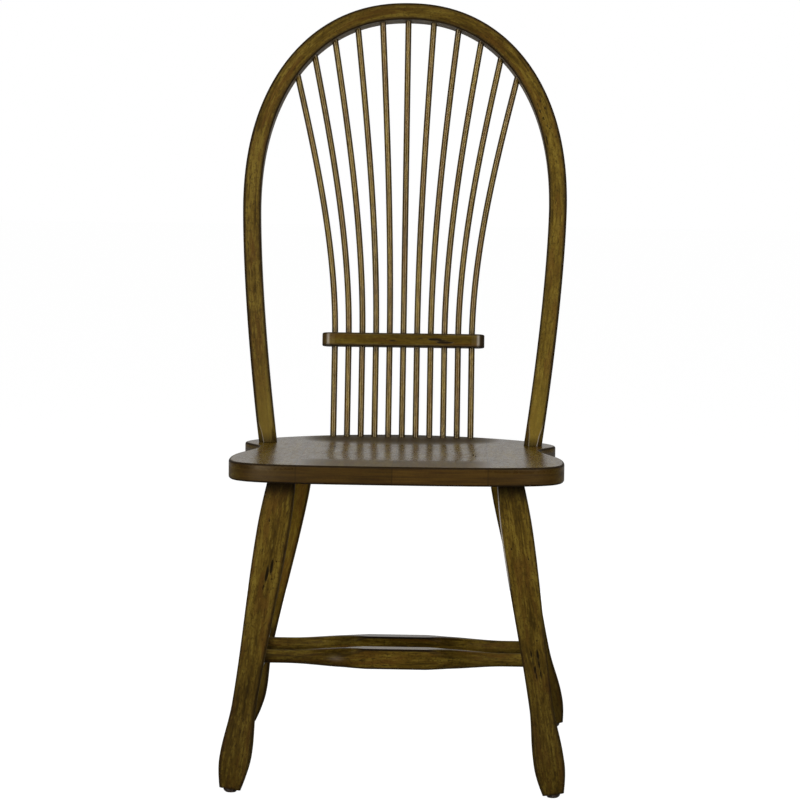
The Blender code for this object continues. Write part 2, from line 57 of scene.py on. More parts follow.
# Seat
SEAT_HEIGHT = 0.4615
SEAT_THICKNESS = 0.026
SEAT_WIDTH = 0.469
SEAT_EDGE_RADIUS = 0.003
SEAT_DISH_DEPTH = 0.006
SEAT_FRONT_Y = -0.21
SEAT_BACK_Y = 0.215
SEAT_LOBE_Y = -0.118
SEAT_WAIST_INSET = 0.03
SEAT_WAIST_Y = 0.024
SEAT_EAR_INSET = 0.0055
SEAT_EAR_Y = 0.085
SEAT_FRONT_HANDLE = 0.22
SEAT_FRONT_CORNER_HANDLE = 0.075
SEAT_LOBE_HANDLE = 0.07
SEAT_WAIST_HANDLE = 0.045
SEAT_EAR_HANDLE = 0.022
SEAT_BACK_CORNER_HANDLE = 0.055
SEAT_BACK_HANDLE = 0.11
SEAT_DISH_FLOOR = 0.18
SEAT_DISH_RIM = 0.78

# Bow
OVERALL_HEIGHT = 1.118
BOW_RAKE = math.radians(18.15)
BOW_WIDTH = 0.0265
BOW_DEPTH = 0.0215
BOW_EDGE_RADIUS = 0.0022
BOW_FOOT_EDGE_RADIUS = 0.0075
BOW_FOOT_RUN = 0.04
BOW_BASE_INSET = 0.039
BOW_FLARE = 0.035
BOW_WIDEST_RISE = 0.3705
BOW_FLARE_POWER = 1.5
BOW_CROWN_POWER = 2.2
BOW_TENON_DIAMETER = 0.016

# Spindles and rail
SPINDLE_COUNT = 11
SPINDLE_DIAMETER = 0.0095
SPINDLE_PITCH = 0.02075
SPINDLE_SETBACK = 0.035
SPINDLE_CROWN_PITCH = 0.04
RAIL_RISE = 0.1445
RAIL_HEIGHT = 0.02
RAIL_DEPTH = 0.024
RAIL_END_MARGIN = 0.0192
RAIL_CORNER_RUN = 0.0125
RAIL_CORNER_DEPTH = 0.0118
RAIL_EDGE_RADIUS = 0.0018

# Legs
LEG_TOP_WIDTH = 0.0378
LEG_SHOULDER_WIDTH = 0.0446
LEG_SHOULDER_DEPTH = 0.038
LEG_ANKLE_WIDTH = 0.033
LEG_PAD_WIDTH = 0.0425
LEG_SOLE_WIDTH = 0.0295
LEG_SHOULDER_DROP = 0.07
LEG_ANKLE_HEIGHT = 0.125
LEG_PAD_HEIGHT = 0.05
LEG_EDGE_RADIUS = 0.0032
LEG_TENON_DIAMETER = 0.022

# Inset and setback of each leg's top from the seat's side and end, and its splay outwards and to that end
LEG_PLACES = {"front": (0.0759, 0.06, 0.066, 0.033), "rear": (0.0865, 0.085, 0.092, 0.147)}

# Stretchers
STRETCHER_HEIGHT = 0.16
STRETCHER_END_DIAMETER = 0.0193
STRETCHER_MIDDLE_HEIGHT = 0.0295
STRETCHER_MIDDLE_DEPTH = 0.024
STRETCHER_EDGE_RADIUS = 0.0018
STRETCHER_FULL_HALF_LENGTH = 0.06
STRETCHER_SWELL_HALF_LENGTH = 0.16
STRETCHER_FACET_HALF_LENGTH = 0.074
STRETCHER_FACET_RUN = 0.03
CROSS_STRETCHER_SETBACK = 0.155
CROSS_STRETCHER_GAP = 0.0993

# Glides
GLIDE_DIAMETER = 0.019
GLIDE_HEIGHT = 0.006
GLIDE_RIM_HEIGHT = 0.0026
GLIDE_DOME_DROP = 0.0078
GLIDE_STEM_DIAMETER = 0.008
GLIDE_STEM_LENGTH = 0.016

# Mesh fineness
CORNER_STEPS = 7
FLAT_SHARES = (0.06, 0.16, 0.33, 0.5, 0.67, 0.84, 0.94)
SIDE_POINTS = CORNER_STEPS + len(FLAT_SHARES)
BOW_STATIONS = 230
BOW_LINE_STEPS = 600
SPINDLE_SIDES = 18
SPINDLE_STRAIGHT_STATIONS = 24
SPINDLE_FLEXED_STATIONS = 60
STRETCHER_STATIONS = 121
LEG_STEPS = (22, 22, 40, 20)
SEAT_PLAN_STEPS = (56, 28, 20, 44)
SEAT_BOTTOM_SHARES = (0.05, 0.35, 0.65, 0.85)
SEAT_SIDE_SHARES = (0.12, 0.3, 0.5, 0.7, 0.88)
SEAT_TOP_SHARES = np.linspace(0.9, 0.02, 26)
RAIL_SIDE_SHARES = np.linspace(-0.75, 0.75, 7)
EDGE_STEPS = 6
GLIDE_SIDES = 40
GLIDE_DOME_TURNS = np.radians(np.linspace(0.0, 85.0, 16))
SHARP_ANGLE = math.radians(50)
SURFACE_SKIN = 0.00001

# Finish, painted shade and painted highlights: lengths on the wood, and strengths
ARRIS_WIDTH = 0.0032
JOINT_RING = 0.004
EDGE_ARRIS_WIDTH = 0.003
SEAT_FRONT_MATT = 0.44
SEAT_BACK_MATT = 0.76
# Painted shade on the seat's top behind the polished band, round the spindles
SEAT_BACK_SHADE = 0.6
SEAT_EDGE_MATT = 0.45
# Painted shade and a painted grey sheen on the ears' sides
SEAT_EAR_SHADE = 0.85
SEAT_EAR_PAINTED_SHEEN = 0.08
SEAT_POLISH_FRONT = -0.05
SEAT_POLISH_BACK = 0.06
SEAT_POLISH_SIDE = 0.1
SEAT_POLISH_FADE = 0.085
BOW_ARRIS_WIDTH = 0.005
BOW_INNER_ARRIS = 0.7
BOW_RING = 0.0012
# Painted shade over the crown and down the left limb, and painted light down the right limb
BOW_CROWN_SHADE = 0.34
BOW_CROWN_SHADE_START = 0.45
BOW_LIMB_SHADE = 0.27
BOW_LIMB_PAINTED_LIGHT = 0.14
BOW_FOOT_PALE = 0.6
BOW_FOOT_PALE_RUN = 0.17
BOW_BEVEL_SHADE = 0.5
# Pale lines along the bevels' edges at the feet
BOW_RIGHT_BEVEL_LINE = 0.36
BOW_LEFT_BEVEL_LINE = 0.2
BOW_INNER_BEVEL_LINE = 0.16
# A painted reflection on the bow's inner face
BOW_INNER_PAINTED_REFLECTION = 0.12
SPINDLE_RING = 0.0055
# Painted shade on the rail's ends, and a painted highlight band where the front turns into each end
RAIL_LEFT_END_SHADE = 0.45
RAIL_RIGHT_END_SHADE = 0.95
RAIL_END_SHADE_RUN = 0.007
RAIL_END_MATT = 0.65
RAIL_PAINTED_HIGHLIGHT = 0.34
STRETCHER_END_MATT = 0.8
# Painted shade on the stretchers' ends, at the lens's points and along the upper front arris
STRETCHER_END_SHADE = 0.1
STRETCHER_ARRIS_SHADE = 0.85
STRETCHER_RING_SHADE = 0.5
STRETCHER_LENS_SHADE = 0.55
STRETCHER_LENS_REACH = 0.022
# A painted glint near the front stretcher's lens
STRETCHER_GLINT = 0.1
STRETCHER_GLINT_PLACE = -0.087
STRETCHER_GLINT_REACH = 0.01
STRETCHER_GLINT_HEIGHT = 0.0035
# Painted shade: the seat's shadow over the legs' tops, dimmer light towards the feet and a dark line at the
# sole
LEG_TOP_SHADE_RUN = {"front": 0.017, "rear": 0.004}
LEG_FOOT_SHADE = {"front": 0.38, "rear": 0.75}
LEG_FOOT_SHADE_RUN = 0.3
LEG_SOLE_SHADE_RUN = 0.0032
LEG_PAD_ARRIS = 1.2
LEG_PAD_ARRIS_RUN = 0.12
LEG_FLANK_REACH = 0.002
# A painted highlight along the inner front arris of one leg
HIGHLIGHTED_LEG = ("front", "right")
LEG_HIGHLIGHT_IN = 0.0009
LEG_HIGHLIGHT_WIDTH = 0.0006
LEG_HIGHLIGHT_RUN = 0.155
LEG_HIGHLIGHT_FADE = 0.04

QUARTER = math.pi / 2
UP = np.array((0.0, 0.0, 1.0))
SIDEWAYS = np.array((1.0, 0.0, 0.0))
BACKWARDS = np.array((0.0, 1.0, 0.0))
SEAT_HALF_WIDTH = SEAT_WIDTH / 2
SEAT_UNDERSIDE = SEAT_HEIGHT - SEAT_THICKNESS
SOCKET_DEPTH = SEAT_THICKNESS - SOCKET_FLOOR
SEAT_ENDS = {"front": (SEAT_FRONT_Y, -1), "rear": (SEAT_BACK_Y, 1)}
SIDES = {"left": -1, "right": 1}
CROSS_SETBACKS = {"front": CROSS_STRETCHER_SETBACK, "rear": CROSS_STRETCHER_SETBACK + CROSS_STRETCHER_GAP}
ORIGIN_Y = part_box("seat")[0].y - SEAT_FRONT_Y


def ease(share):
    """Half a cosine wave from 0 to 1."""
    return 0.5 - 0.5 * np.cos(np.pi * np.clip(share, 0.0, 1.0))


def blend(start, end, share):
    """A value part of the way from one to another."""
    return start + (end - start) * share


def unit(vectors):
    vectors = np.asarray(vectors, dtype=float)
    return vectors / np.linalg.norm(vectors, axis=-1, keepdims=True)


def on_circle(angle):
    return np.array((math.cos(angle), math.sin(angle)))


def near(distance, reach):
    """1 at no distance, fading out over a reach."""
    return np.exp(-(distance / reach) ** 2)


# Sections and skins


class Outline:
    """Points round a rectangle with round or bevelled corners, the same count for every size."""

    def __init__(self):
        corners = np.array(((1, 1), (-1, 1), (-1, -1), (1, -1)), dtype=float)
        side, arc, bevel = [], [], []
        for k, corner in enumerate(corners):
            start, end = on_circle(k * QUARTER), on_circle((k + 1) * QUARTER)
            for share in np.linspace(0.0, 1.0, CORNER_STEPS):
                side.append(corner)
                arc.append(on_circle((k + share) * QUARTER))
                bevel.append(blend(start, end, share))
            for share in FLAT_SHARES:
                side.append(blend(corner, corners[(k + 1) % 4], share))
                arc.append(end)
                bevel.append(end)
        self.side, self.arc, self.bevel = map(np.array, (side, arc, bevel))
        self.in_corner = np.arange(len(side)) % SIDE_POINTS < CORNER_STEPS

    def points(self, half_width, half_depth, radius, bevel=0.0, run=None, arris_width=ARRIS_WIDTH):
        """Sections as an array of stations, points and two places, and how near each point is to an arris.

        A run makes the corners oval: it is their length along the width.
        """
        run = radius if run is None else run
        sizes = [np.atleast_1d(size).astype(float) for size in (half_width, half_depth, run, radius, bevel)]
        half_width, half_depth, run, radius, bevel = np.broadcast_arrays(*sizes)
        half = np.stack((half_width, half_depth), axis=-1)[:, None, :]
        corner = np.stack((run, radius), axis=-1)[:, None, :]
        turn = blend(self.arc, self.bevel, bevel[:, None, None])
        section = self.side * (half - corner) + corner * turn
        middle = half - corner * (1 - math.sqrt(0.5))
        distance = np.linalg.norm(np.abs(section) - middle, axis=-1)
        return section, np.clip(1 - distance / arris_width, 0.0, 1.0)

    def round(self, radius):
        return self.points(radius, radius, radius)[0]


OUTLINE = Outline()


def circle(radius, sides):
    """One round section for each radius."""
    angles = np.arange(sides) * 2 * math.pi / sides
    return np.atleast_1d(radius)[:, None, None] * np.column_stack((np.cos(angles), np.sin(angles)))


def rounded_edge(radius):
    """How far in and how far down the steps round an edge lie, and how near each is to its arris."""
    turns = np.linspace(0.0, QUARTER, EDGE_STEPS)
    arris = np.clip(1 - radius * np.abs(turns - QUARTER / 2) / EDGE_ARRIS_WIDTH, 0.0, 1.0)
    return radius * (1 - np.sin(turns)), radius * (1 - np.cos(turns)), arris


def run_along(points):
    """How far along a line each of its points lies."""
    steps = np.linalg.norm(np.diff(points, axis=0), axis=1)
    return np.concatenate(([0.0], np.cumsum(steps)))


def place(section, centres, across, along):
    """Sections set at centres, each in its own pair of directions."""
    across, along = (np.broadcast_to(way, centres.shape)[:, None, :] for way in (across, along))
    return centres[:, None, :] + section[..., :1] * across + section[..., 1:] * along


def frames_across(directions):
    """Two unit vectors square to each direction, none of which runs sideways."""
    side = unit(np.cross(SIDEWAYS, directions))
    return side, np.cross(directions, side)


def slide_to_height(ring, direction, height):
    """Slides each point of a ring along a direction until it lies at one height."""
    return ring + np.outer((height - ring[:, 2]) / direction[2], direction)


def grain_of(along, section):
    """Places in the wood: along the grain, then the two places across it."""
    along = np.broadcast_to(along[:, None, None], section.shape[:2] + (1,))
    return np.concatenate((along, section), axis=-1)


def add_object(name, data):
    added = bpy.data.objects.new(name, data)
    bpy.context.scene.collection.objects.link(added)
    return added


PAINTED = ("arris", "shade", "pale", "matt", "highlight_and_pale_line")
piece_numbers = itertools.count(1)


def make_piece(node, rings, grain, material, slot, **paint):
    """Skins a run of rings, closes both ends and lets the piece stand for its CAD node.

    Paint gives shares from 0 to 1 for each station and point: arris, shade, pale, matt and
    highlight_and_pale_line. Shade holds painted shade and dark joint rings, pale holds paler tone and painted
    light, and highlight_and_pale_line holds painted highlights, painted reflections and pale lines.
    """
    stations, count = rings.shape[:2]
    index = np.arange(stations * count).reshape(stations, count)
    following = np.roll(index, -1, axis=1)
    quads = np.stack((index[:-1], following[:-1], following[1:], index[1:]), axis=-1).reshape(-1, 4)
    low_fan = np.column_stack((following[0], index[0], np.full(count, index.size)))
    high_fan = np.column_stack((index[-1], following[-1], np.full(count, index.size + 1)))

    def with_ends(values):
        ends = (values[0].mean(axis=0), values[-1].mean(axis=0))
        return np.vstack((values.reshape(index.size, -1), *ends))

    points = with_ends(rings) + np.array((0.0, ORIGIN_Y, 0.0))
    corners = points[quads[:, :3]] - points.mean(axis=0)
    inside_out = np.einsum("ij,ij->i", corners[:, 0], np.cross(corners[:, 1], corners[:, 2])).sum() < 0
    order = -1 if inside_out else 1
    faces = [face[::order] for part in (quads, low_fan, high_fan) for face in part.tolist()]
    mesh = bpy.data.meshes.new(node + "_fine")
    mesh.from_pydata(points.tolist(), [], faces)
    mesh.shade_smooth()
    mesh.set_sharp_from_angle(angle=SHARP_ANGLE)
    grain_data = mesh.attributes.new("grain", "FLOAT_VECTOR", "POINT").data
    grain_data.foreach_set("vector", with_ends(grain).astype(np.float32).ravel())
    paint["piece"] = next(piece_numbers)
    for name in PAINTED + ("piece",):
        values = np.broadcast_to(paint.get(name, 0.0), (stations, count))
        data = mesh.attributes.new(name, "FLOAT", "POINT").data
        data.foreach_set("value", with_ends(values[..., None]).astype(np.float32).ravel())
    mesh.materials.append(material)
    piece = add_object(node + "_fine", mesh)
    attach(piece, "root")
    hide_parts(node)


# Materials


class Shader:
    """The node tree of a material or world, with short ways to add what the finishes need."""

    def __init__(self, owner):
        owner.use_nodes = True
        self.owner = owner
        self.tree = owner.node_tree

    @property
    def surface(self):
        return self.tree.nodes["Principled BSDF"]

    def feed(self, node, socket, value):
        if isinstance(value, bpy.types.NodeSocket):
            self.tree.links.new(value, node.inputs[socket])
        else:
            node.inputs[socket].default_value = value

    def add(self, kind, inputs, **settings):
        node = self.tree.nodes.new("ShaderNode" + kind)
        for name, value in settings.items():
            setattr(node, name, value)
        for socket, value in inputs.items():
            self.feed(node, socket, value)
        return node

    def attribute(self, name, output="Fac"):
        return self.add("Attribute", {}, attribute_name=name).outputs[output]

    def math(self, operation, first, second=0.0, third=0.0):
        return self.add("Math", {0: first, 1: second, 2: third}, operation=operation).outputs[0]

    def scaled(self, value, factor, added=0.0):
        return self.math("MULTIPLY_ADD", value, factor, added)

    def vector(self, operation, first, second, third=(0.0, 0.0, 0.0)):
        inputs = {0: first, 1: second, 2: third}
        return self.add("VectorMath", inputs, operation=operation).outputs["Vector"]

    def split(self, vector):
        """A vector's places, by the names X, Y and Z."""
        return self.add("SeparateXYZ", {0: vector}).outputs

    def spread(self, value, low, high, to_low=0.0, to_high=1.0):
        """Turns a span of values into another span, smoothly and held at its ends."""
        limits = {"From Min": low, "From Max": high, "To Min": to_low, "To Max": to_high}
        node = self.add("MapRange", {"Value": value, **limits}, interpolation_type="SMOOTHSTEP")
        return node.outputs["Result"]

    def noise(self, vector, stretch, detail, roughness, offset):
        """Noise that is drawn out along the grain and differs from piece to piece."""
        inputs = {"Scale": 1.0, "Detail": detail, "Roughness": roughness}
        inputs["Vector"] = self.vector("MULTIPLY", vector, stretch)
        inputs["W"] = self.scaled(self.attribute("piece"), PIECE_OFFSET, offset)
        return self.add("TexNoise", inputs, noise_dimensions="4D").outputs["Fac"]

    def mix(self, share, first, second, mode="MIX"):
        inputs = {0: share, 6: first, 7: second}
        return self.add("Mix", inputs, data_type="RGBA", blend_type=mode).outputs[2]

    def bump(self, height, strength, distance):
        inputs = {"Height": height, "Strength": strength, "Distance": distance}
        return self.add("Bump", inputs).outputs["Normal"]


# Stain, plastic, painted shade and painted highlights, as linear colours
STAIN_DARK = (0.04, 0.023, 0.0026, 1.0)
STAIN_MIDDLE = (0.104, 0.062, 0.007, 1.0)
STAIN_PALE = (0.19, 0.13, 0.018, 1.0)
STAIN_RED = (0.092, 0.042, 0.006, 1.0)
# Dark colour of the burnished arrises, and of the painted shade laid on by the shade share
BURNISH_AND_SHADE = (0.008, 0.004, 0.0018, 1.0)
PORE = (0.016, 0.009, 0.0024, 1.0)
GOUGE = (0.005, 0.003, 0.0014, 1.0)
END_GRAIN = (0.066, 0.033, 0.006, 1.0)
END_GRAIN_DARK = (0.032, 0.015, 0.004, 1.0)
# Pale colour of the painted highlights and reflections, and of the pale lines on the bow's bevels
HIGHLIGHT_AND_PALE_LINE = (0.78, 0.71, 0.62, 1.0)
WARM_GLOSS = (1.0, 0.8, 0.5, 1.0)
PLASTIC_DARK = (0.028, 0.017, 0.011, 1.0)
PLASTIC_PALE = (0.07, 0.048, 0.034, 1.0)
PLASTIC_SCUFFED = (0.2, 0.16, 0.125, 1.0)

# Noises: repeats in a metre along the grain and both ways across it, detail, roughness and offset
PIECE_OFFSET = 3.7
SWAY = ((9, 50, 50), 2, 0.5, 11)
SANDING = ((0, 13, 330), 4, 0.6, 91)
FIGURES = {
    "streaks": ((20, 400, 400), 4, 0.65, 0),
    "broad": ((11, 75, 75), 3, 0.5, 23),
    "mottle": ((70, 190, 190), 4, 0.6, 31),
    "warm": ((14, 80, 80), 3, 0.5, 41),
    "pores": ((110, 620, 620), 2, 0.5, 57),
    "flecks": ((60, 360, 360), 3, 0.5, 71),
    "speckle": ((330, 480, 480), 2, 0.5, 83),
}
CLOUD = ((160, 160, 160), 4, 0.5, 0)
SCUFFS = ((900, 900, 300), 3, 0.5, 13)

# How the noises make the finish: a span is two values, then the strengths that they turn into if not 0 and 1
SWAY_REACH = (0.0, 0.006, 0.006)
FIGURE_WEIGHTS = {"streaks": 0.46, "broad": 0.3, "mottle": 0.24}
FIGURE_HALF_SPAN = 0.095
WARM_SPAN = (0.48, 0.66, 0.0, 0.75)
OVERLAYS = (
    ("flecks", (0.56, 0.66), 0.5, STAIN_PALE),
    ("speckle", (0.54, 0.64), 0.6, STAIN_DARK),
    ("pores", (0.58, 0.68), 0.6, PORE),
)
SEAM_SPAN = (0.0002, 0.0008, 0.75, 0.0)
SANDING_SPAN = (0.35, 0.65)
END_GRAIN_SPAN = (0.4, 0.9, 0.0, 0.88)
DOTS_PER_METRE, DOT_SPAN, DOT_PICK = 62.0, (0.03, 0.065), 0.62
GOUGE_SPAN, GOUGE_RAGGED, GOUGE_STRENGTH = (0.6, 1.1, 1.0, 0.0), 1.2, 0.94
EDGE_SPAN, EDGE_UNEVEN, EDGE_DULL = (0.05, 0.7), 0.8, 0.45
SHADE_STRENGTH, HIGHLIGHT_AND_PALE_LINE_STRENGTH, MATT_STRENGTH = 0.88, 0.9, 0.9
RELIEF_DULL = 0.45
STREAK_RISE, PORE_DROP, GOUGE_DROP, BUMP_DEPTH = 0.5, 0.35, 1.6, 0.0006
SCUFF_SPAN = (0.5, 0.66, 0.0, 0.7)
SCUFF_SHEEN, SCUFF_RELIEF, SCUFF_DEPTH = (0.3, 0.7, 0.38, 0.62), 0.25, 0.0003


def swayed(shader, grain):
    """Places in the wood whose figure wanders a little from side to side."""
    sway = shader.noise(grain, *SWAY)
    sideways = shader.add("CombineXYZ", {1: sway, 2: sway}).outputs[0]
    return shader.vector("MULTIPLY_ADD", sideways, SWAY_REACH, grain)


def glue_lines(shader, grain, boards):
    """The seams between boards, the number of each board and the tone of its end grain."""
    across = shader.split(grain)["Y"]
    seam, board, tone = 0.0, 0.0, 1.0
    for edge, change in boards:
        beyond = shader.math("GREATER_THAN", across, edge)
        board = shader.math("ADD", beyond, board)
        tone = shader.scaled(beyond, change, tone)
        gap = shader.math("ABSOLUTE", shader.math("SUBTRACT", across, edge))
        seam = shader.math("MAXIMUM", shader.spread(gap, *SEAM_SPAN), seam)
    return seam, board, tone


def stain(shader, noises, figure):
    """Dark to pale stain by the grain, warmer in places, with flecks, speckle and pores."""
    level = 0.0
    for kind, weight in FIGURE_WEIGHTS.items():
        level = shader.scaled(noises[kind], weight, level)
    ramp = shader.add("ValToRGB", {"Fac": level})
    dark, pale = ramp.color_ramp.elements
    dark.position = 0.5 - FIGURE_HALF_SPAN / figure
    dark.color = STAIN_DARK
    pale.position = 0.5 + FIGURE_HALF_SPAN / figure
    pale.color = STAIN_PALE
    ramp.color_ramp.elements.new(0.5).color = STAIN_MIDDLE
    colour = shader.mix(shader.spread(noises["warm"], *WARM_SPAN), ramp.outputs["Color"], STAIN_RED)
    for kind, span, strength, tint in OVERLAYS:
        colour = shader.mix(shader.spread(noises[kind], *span, 0.0, strength * figure), colour, tint)
    return colour


def end_grain(shader, grain, colour, seam, tone):
    """Adds the sanded ends of the boards, and the seams between them."""
    normal = shader.add("NewGeometry", {}).outputs["Normal"]
    facing = shader.math("ABSOLUTE", shader.split(normal)["Y"])
    sanding = shader.spread(shader.noise(grain, *SANDING), *SANDING_SPAN)
    ends = shader.mix(1.0, shader.mix(sanding, END_GRAIN, END_GRAIN_DARK), tone, "MULTIPLY")
    colour = shader.mix(shader.spread(facing, *END_GRAIN_SPAN), colour, ends)
    return shader.mix(seam, colour, PORE)


def gouged(shader, grain, flecks, specks, marks):
    """How deep a place lies in one of the small dark dots or in a mark."""
    dots = shader.add("TexVoronoi", {"Vector": grain, "Scale": DOTS_PER_METRE})
    pick = shader.add("SeparateColor", {0: dots.outputs["Color"]}).outputs[0]
    dot = shader.spread(dots.outputs["Distance"], *DOT_SPAN, specks, 0.0)
    gouge = shader.scaled(dot, shader.math("GREATER_THAN", pick, DOT_PICK))
    ragged = shader.scaled(flecks, GOUGE_RAGGED, -GOUGE_RAGGED / 2)
    for spot, reach in marks:
        away = shader.vector("DIVIDE", shader.vector("SUBTRACT", grain, spot), reach)
        length = shader.add("VectorMath", {0: away}, operation="LENGTH").outputs["Value"]
        depth = shader.spread(shader.math("ADD", length, ragged), *GOUGE_SPAN)
        gouge = shader.math("MAXIMUM", depth, gouge)
    return gouge


def wood(name, tone=1.0, gloss=0.2, roughness=0.4, figure=1.0, edging=0.75, relief=0.35, specks=0.8,
         blotches=0.0, marks=(), boards=()):
    """Stained wood with burnished arrises, painted shade, painted light, painted highlights and pale lines.

    Figure is the strength of the grain, edging that of the dark arrises, relief that of the bumps and specks
    that of the small dark dots. Blotches make the sheen uneven. Marks are gouges: place and reach of each.
    Boards are glue lines: the place of each, and how much the end grain's tone changes there.
    """
    shader = Shader(bpy.data.materials.new(name))
    surface = shader.surface
    grain = shader.attribute("grain", "Vector")
    in_wood = swayed(shader, grain)
    if boards:
        seam, board, end_tone = glue_lines(shader, grain, boards)
        shift = shader.add("CombineXYZ", {0: board, 2: board}).outputs[0]
        in_wood = shader.vector("ADD", in_wood, shift)
    noises = {kind: shader.noise(in_wood, *look) for kind, look in FIGURES.items()}
    streaks = noises["streaks"]

    colour = stain(shader, noises, figure)
    if boards:
        colour = end_grain(shader, grain, colour, seam, end_tone)
    colour = shader.mix(1.0, colour, (tone, tone, tone, 1.0), "MULTIPLY")
    gouge = gouged(shader, grain, noises["flecks"], specks, marks)
    uneven = shader.scaled(streaks, EDGE_UNEVEN, -EDGE_UNEVEN / 2)
    edge = shader.spread(shader.math("ADD", shader.attribute("arris"), uneven), *EDGE_SPAN)
    layers = (
        (gouge, GOUGE_STRENGTH, GOUGE),
        (shader.attribute("pale"), 1.0, STAIN_PALE),
        (edge, edging, BURNISH_AND_SHADE),
        # The shade share: painted shade, and the dark rings at joints
        (shader.attribute("shade"), SHADE_STRENGTH, BURNISH_AND_SHADE),
        # Painted highlights and reflections, and pale lines
        (shader.attribute("highlight_and_pale_line"), HIGHLIGHT_AND_PALE_LINE_STRENGTH, HIGHLIGHT_AND_PALE_LINE),
    )
    for share, strength, tint in layers:
        colour = shader.mix(shader.scaled(share, strength), colour, tint)
    shader.feed(surface, "Base Color", colour)

    unevenness = RELIEF_DULL * relief
    dull = shader.scaled(streaks, unevenness, roughness - (unevenness + blotches) / 2)
    dull = shader.scaled(noises["mottle"], blotches, dull)
    dull = shader.scaled(edge, EDGE_DULL, dull)
    dull = shader.math("MAXIMUM", dull, gouge)
    matt = shader.scaled(shader.attribute("matt"), MATT_STRENGTH)
    shader.feed(surface, "Roughness", shader.math("MAXIMUM", dull, matt))
    height = shader.scaled(streaks, STREAK_RISE)
    height = shader.scaled(noises["pores"], -PORE_DROP, height)
    height = shader.scaled(gouge, -GOUGE_DROP, height)
    shader.feed(surface, "Normal", shader.bump(height, relief, BUMP_DEPTH))
    surface.inputs["Specular IOR Level"].default_value = gloss
    surface.inputs["Specular Tint"].default_value = WARM_GLOSS
    return shader.owner


def plastic(name):
    """Brown moulded plastic, scuffed where it slides."""
    shader = Shader(bpy.data.materials.new(name))
    grain = shader.attribute("grain", "Vector")
    scuffs = shader.noise(grain, *SCUFFS)
    colour = shader.mix(shader.noise(grain, *CLOUD), PLASTIC_DARK, PLASTIC_PALE)
    colour = shader.mix(shader.spread(scuffs, *SCUFF_SPAN), colour, PLASTIC_SCUFFED)
    shader.feed(shader.surface, "Base Color", colour)
    shader.feed(shader.surface, "Roughness", shader.spread(scuffs, *SCUFF_SHEEN))
    shader.feed(shader.surface, "Normal", shader.bump(scuffs, SCUFF_RELIEF, SCUFF_DEPTH))
    return shader.owner


# Seat


def bezier(start, start_handle, end_handle, end, steps):
    """Points of a cubic curve, without its last one."""
    t = np.linspace(0.0, 1.0, steps, endpoint=False)[:, None]
    corners = [np.asarray(point, dtype=float) for point in (start, start_handle, end_handle, end)]
    weights = ((1 - t) ** 3, 3 * t * (1 - t) ** 2, 3 * t ** 2 * (1 - t), t ** 3)
    return sum(weight * corner for weight, corner in zip(weights, corners))


def seat_plan():
    """The seat's closed outline: a shallow front, broad lobes, a waist, ears and a round back."""
    front = (0.0, SEAT_FRONT_Y)
    lobe = np.array((SEAT_HALF_WIDTH, SEAT_LOBE_Y))
    waist = np.array((SEAT_HALF_WIDTH - SEAT_WAIST_INSET, SEAT_WAIST_Y))
    ear = np.array((SEAT_HALF_WIDTH - SEAT_EAR_INSET, SEAT_EAR_Y))
    back = (0.0, SEAT_BACK_Y)
    rise = np.array((0.0, 1.0))
    corner = lobe - SEAT_FRONT_CORNER_HANDLE * rise
    to_lobe, to_waist, to_ear, to_back = SEAT_PLAN_STEPS
    right = np.vstack((
        bezier(front, (SEAT_FRONT_HANDLE, SEAT_FRONT_Y), corner, lobe, to_lobe),
        bezier(lobe, lobe + SEAT_LOBE_HANDLE * rise, waist - SEAT_WAIST_HANDLE * rise, waist, to_waist),
        bezier(waist, waist + SEAT_EAR_HANDLE * rise, ear - SEAT_EAR_HANDLE * rise, ear, to_ear),
        bezier(ear, ear + SEAT_BACK_CORNER_HANDLE * rise, (SEAT_BACK_HANDLE, SEAT_BACK_Y), back, to_back),
        [back],
    ))
    return np.vstack((right, right[-2:0:-1] * (-1.0, 1.0)))


def inset(plan, distance):
    """Moves an outline inwards, square to itself."""
    run = np.roll(plan, -1, axis=0) - np.roll(plan, 1, axis=0)
    outward = np.column_stack((run[:, 1], -run[:, 0])) / np.linalg.norm(run, axis=1)[:, None]
    return plan - distance * outward


def seat_paint(rings):
    """Dull along the top's front and round the spindles, polished elsewhere, with painted shade round the
    spindles, and painted shade and a painted grey sheen on the ears' sides.
    """
    side, depth, height = np.abs(rings[..., 0]), rings[..., 1], rings[..., 2]
    at_front = ease((SEAT_POLISH_FRONT - depth) / SEAT_POLISH_FADE)
    at_back = ease((depth - SEAT_POLISH_BACK) / SEAT_POLISH_FADE)
    inward = 1 - ease((side - SEAT_POLISH_SIDE) / SEAT_POLISH_FADE)
    top = height > SEAT_HEIGHT - SEAT_DISH_DEPTH - SEAT_EDGE_RADIUS / 2
    on_ear = (height < SEAT_HEIGHT - SEAT_DISH_DEPTH) & (depth > SEAT_WAIST_Y)
    across = np.maximum(SEAT_FRONT_MATT * at_front, SEAT_BACK_MATT * at_back)
    # Painted shade on the top behind the polished band
    shade = np.where(top, SEAT_BACK_SHADE * inward * at_back, 0.0)
    return {
        "matt": np.where(top, inward * across, SEAT_EDGE_MATT),
        # Painted shade and a painted grey sheen on the ears' sides
        "shade": np.maximum(shade, SEAT_EAR_SHADE * on_ear),
        "highlight_and_pale_line": SEAT_EAR_PAINTED_SHEEN * on_ear,
    }


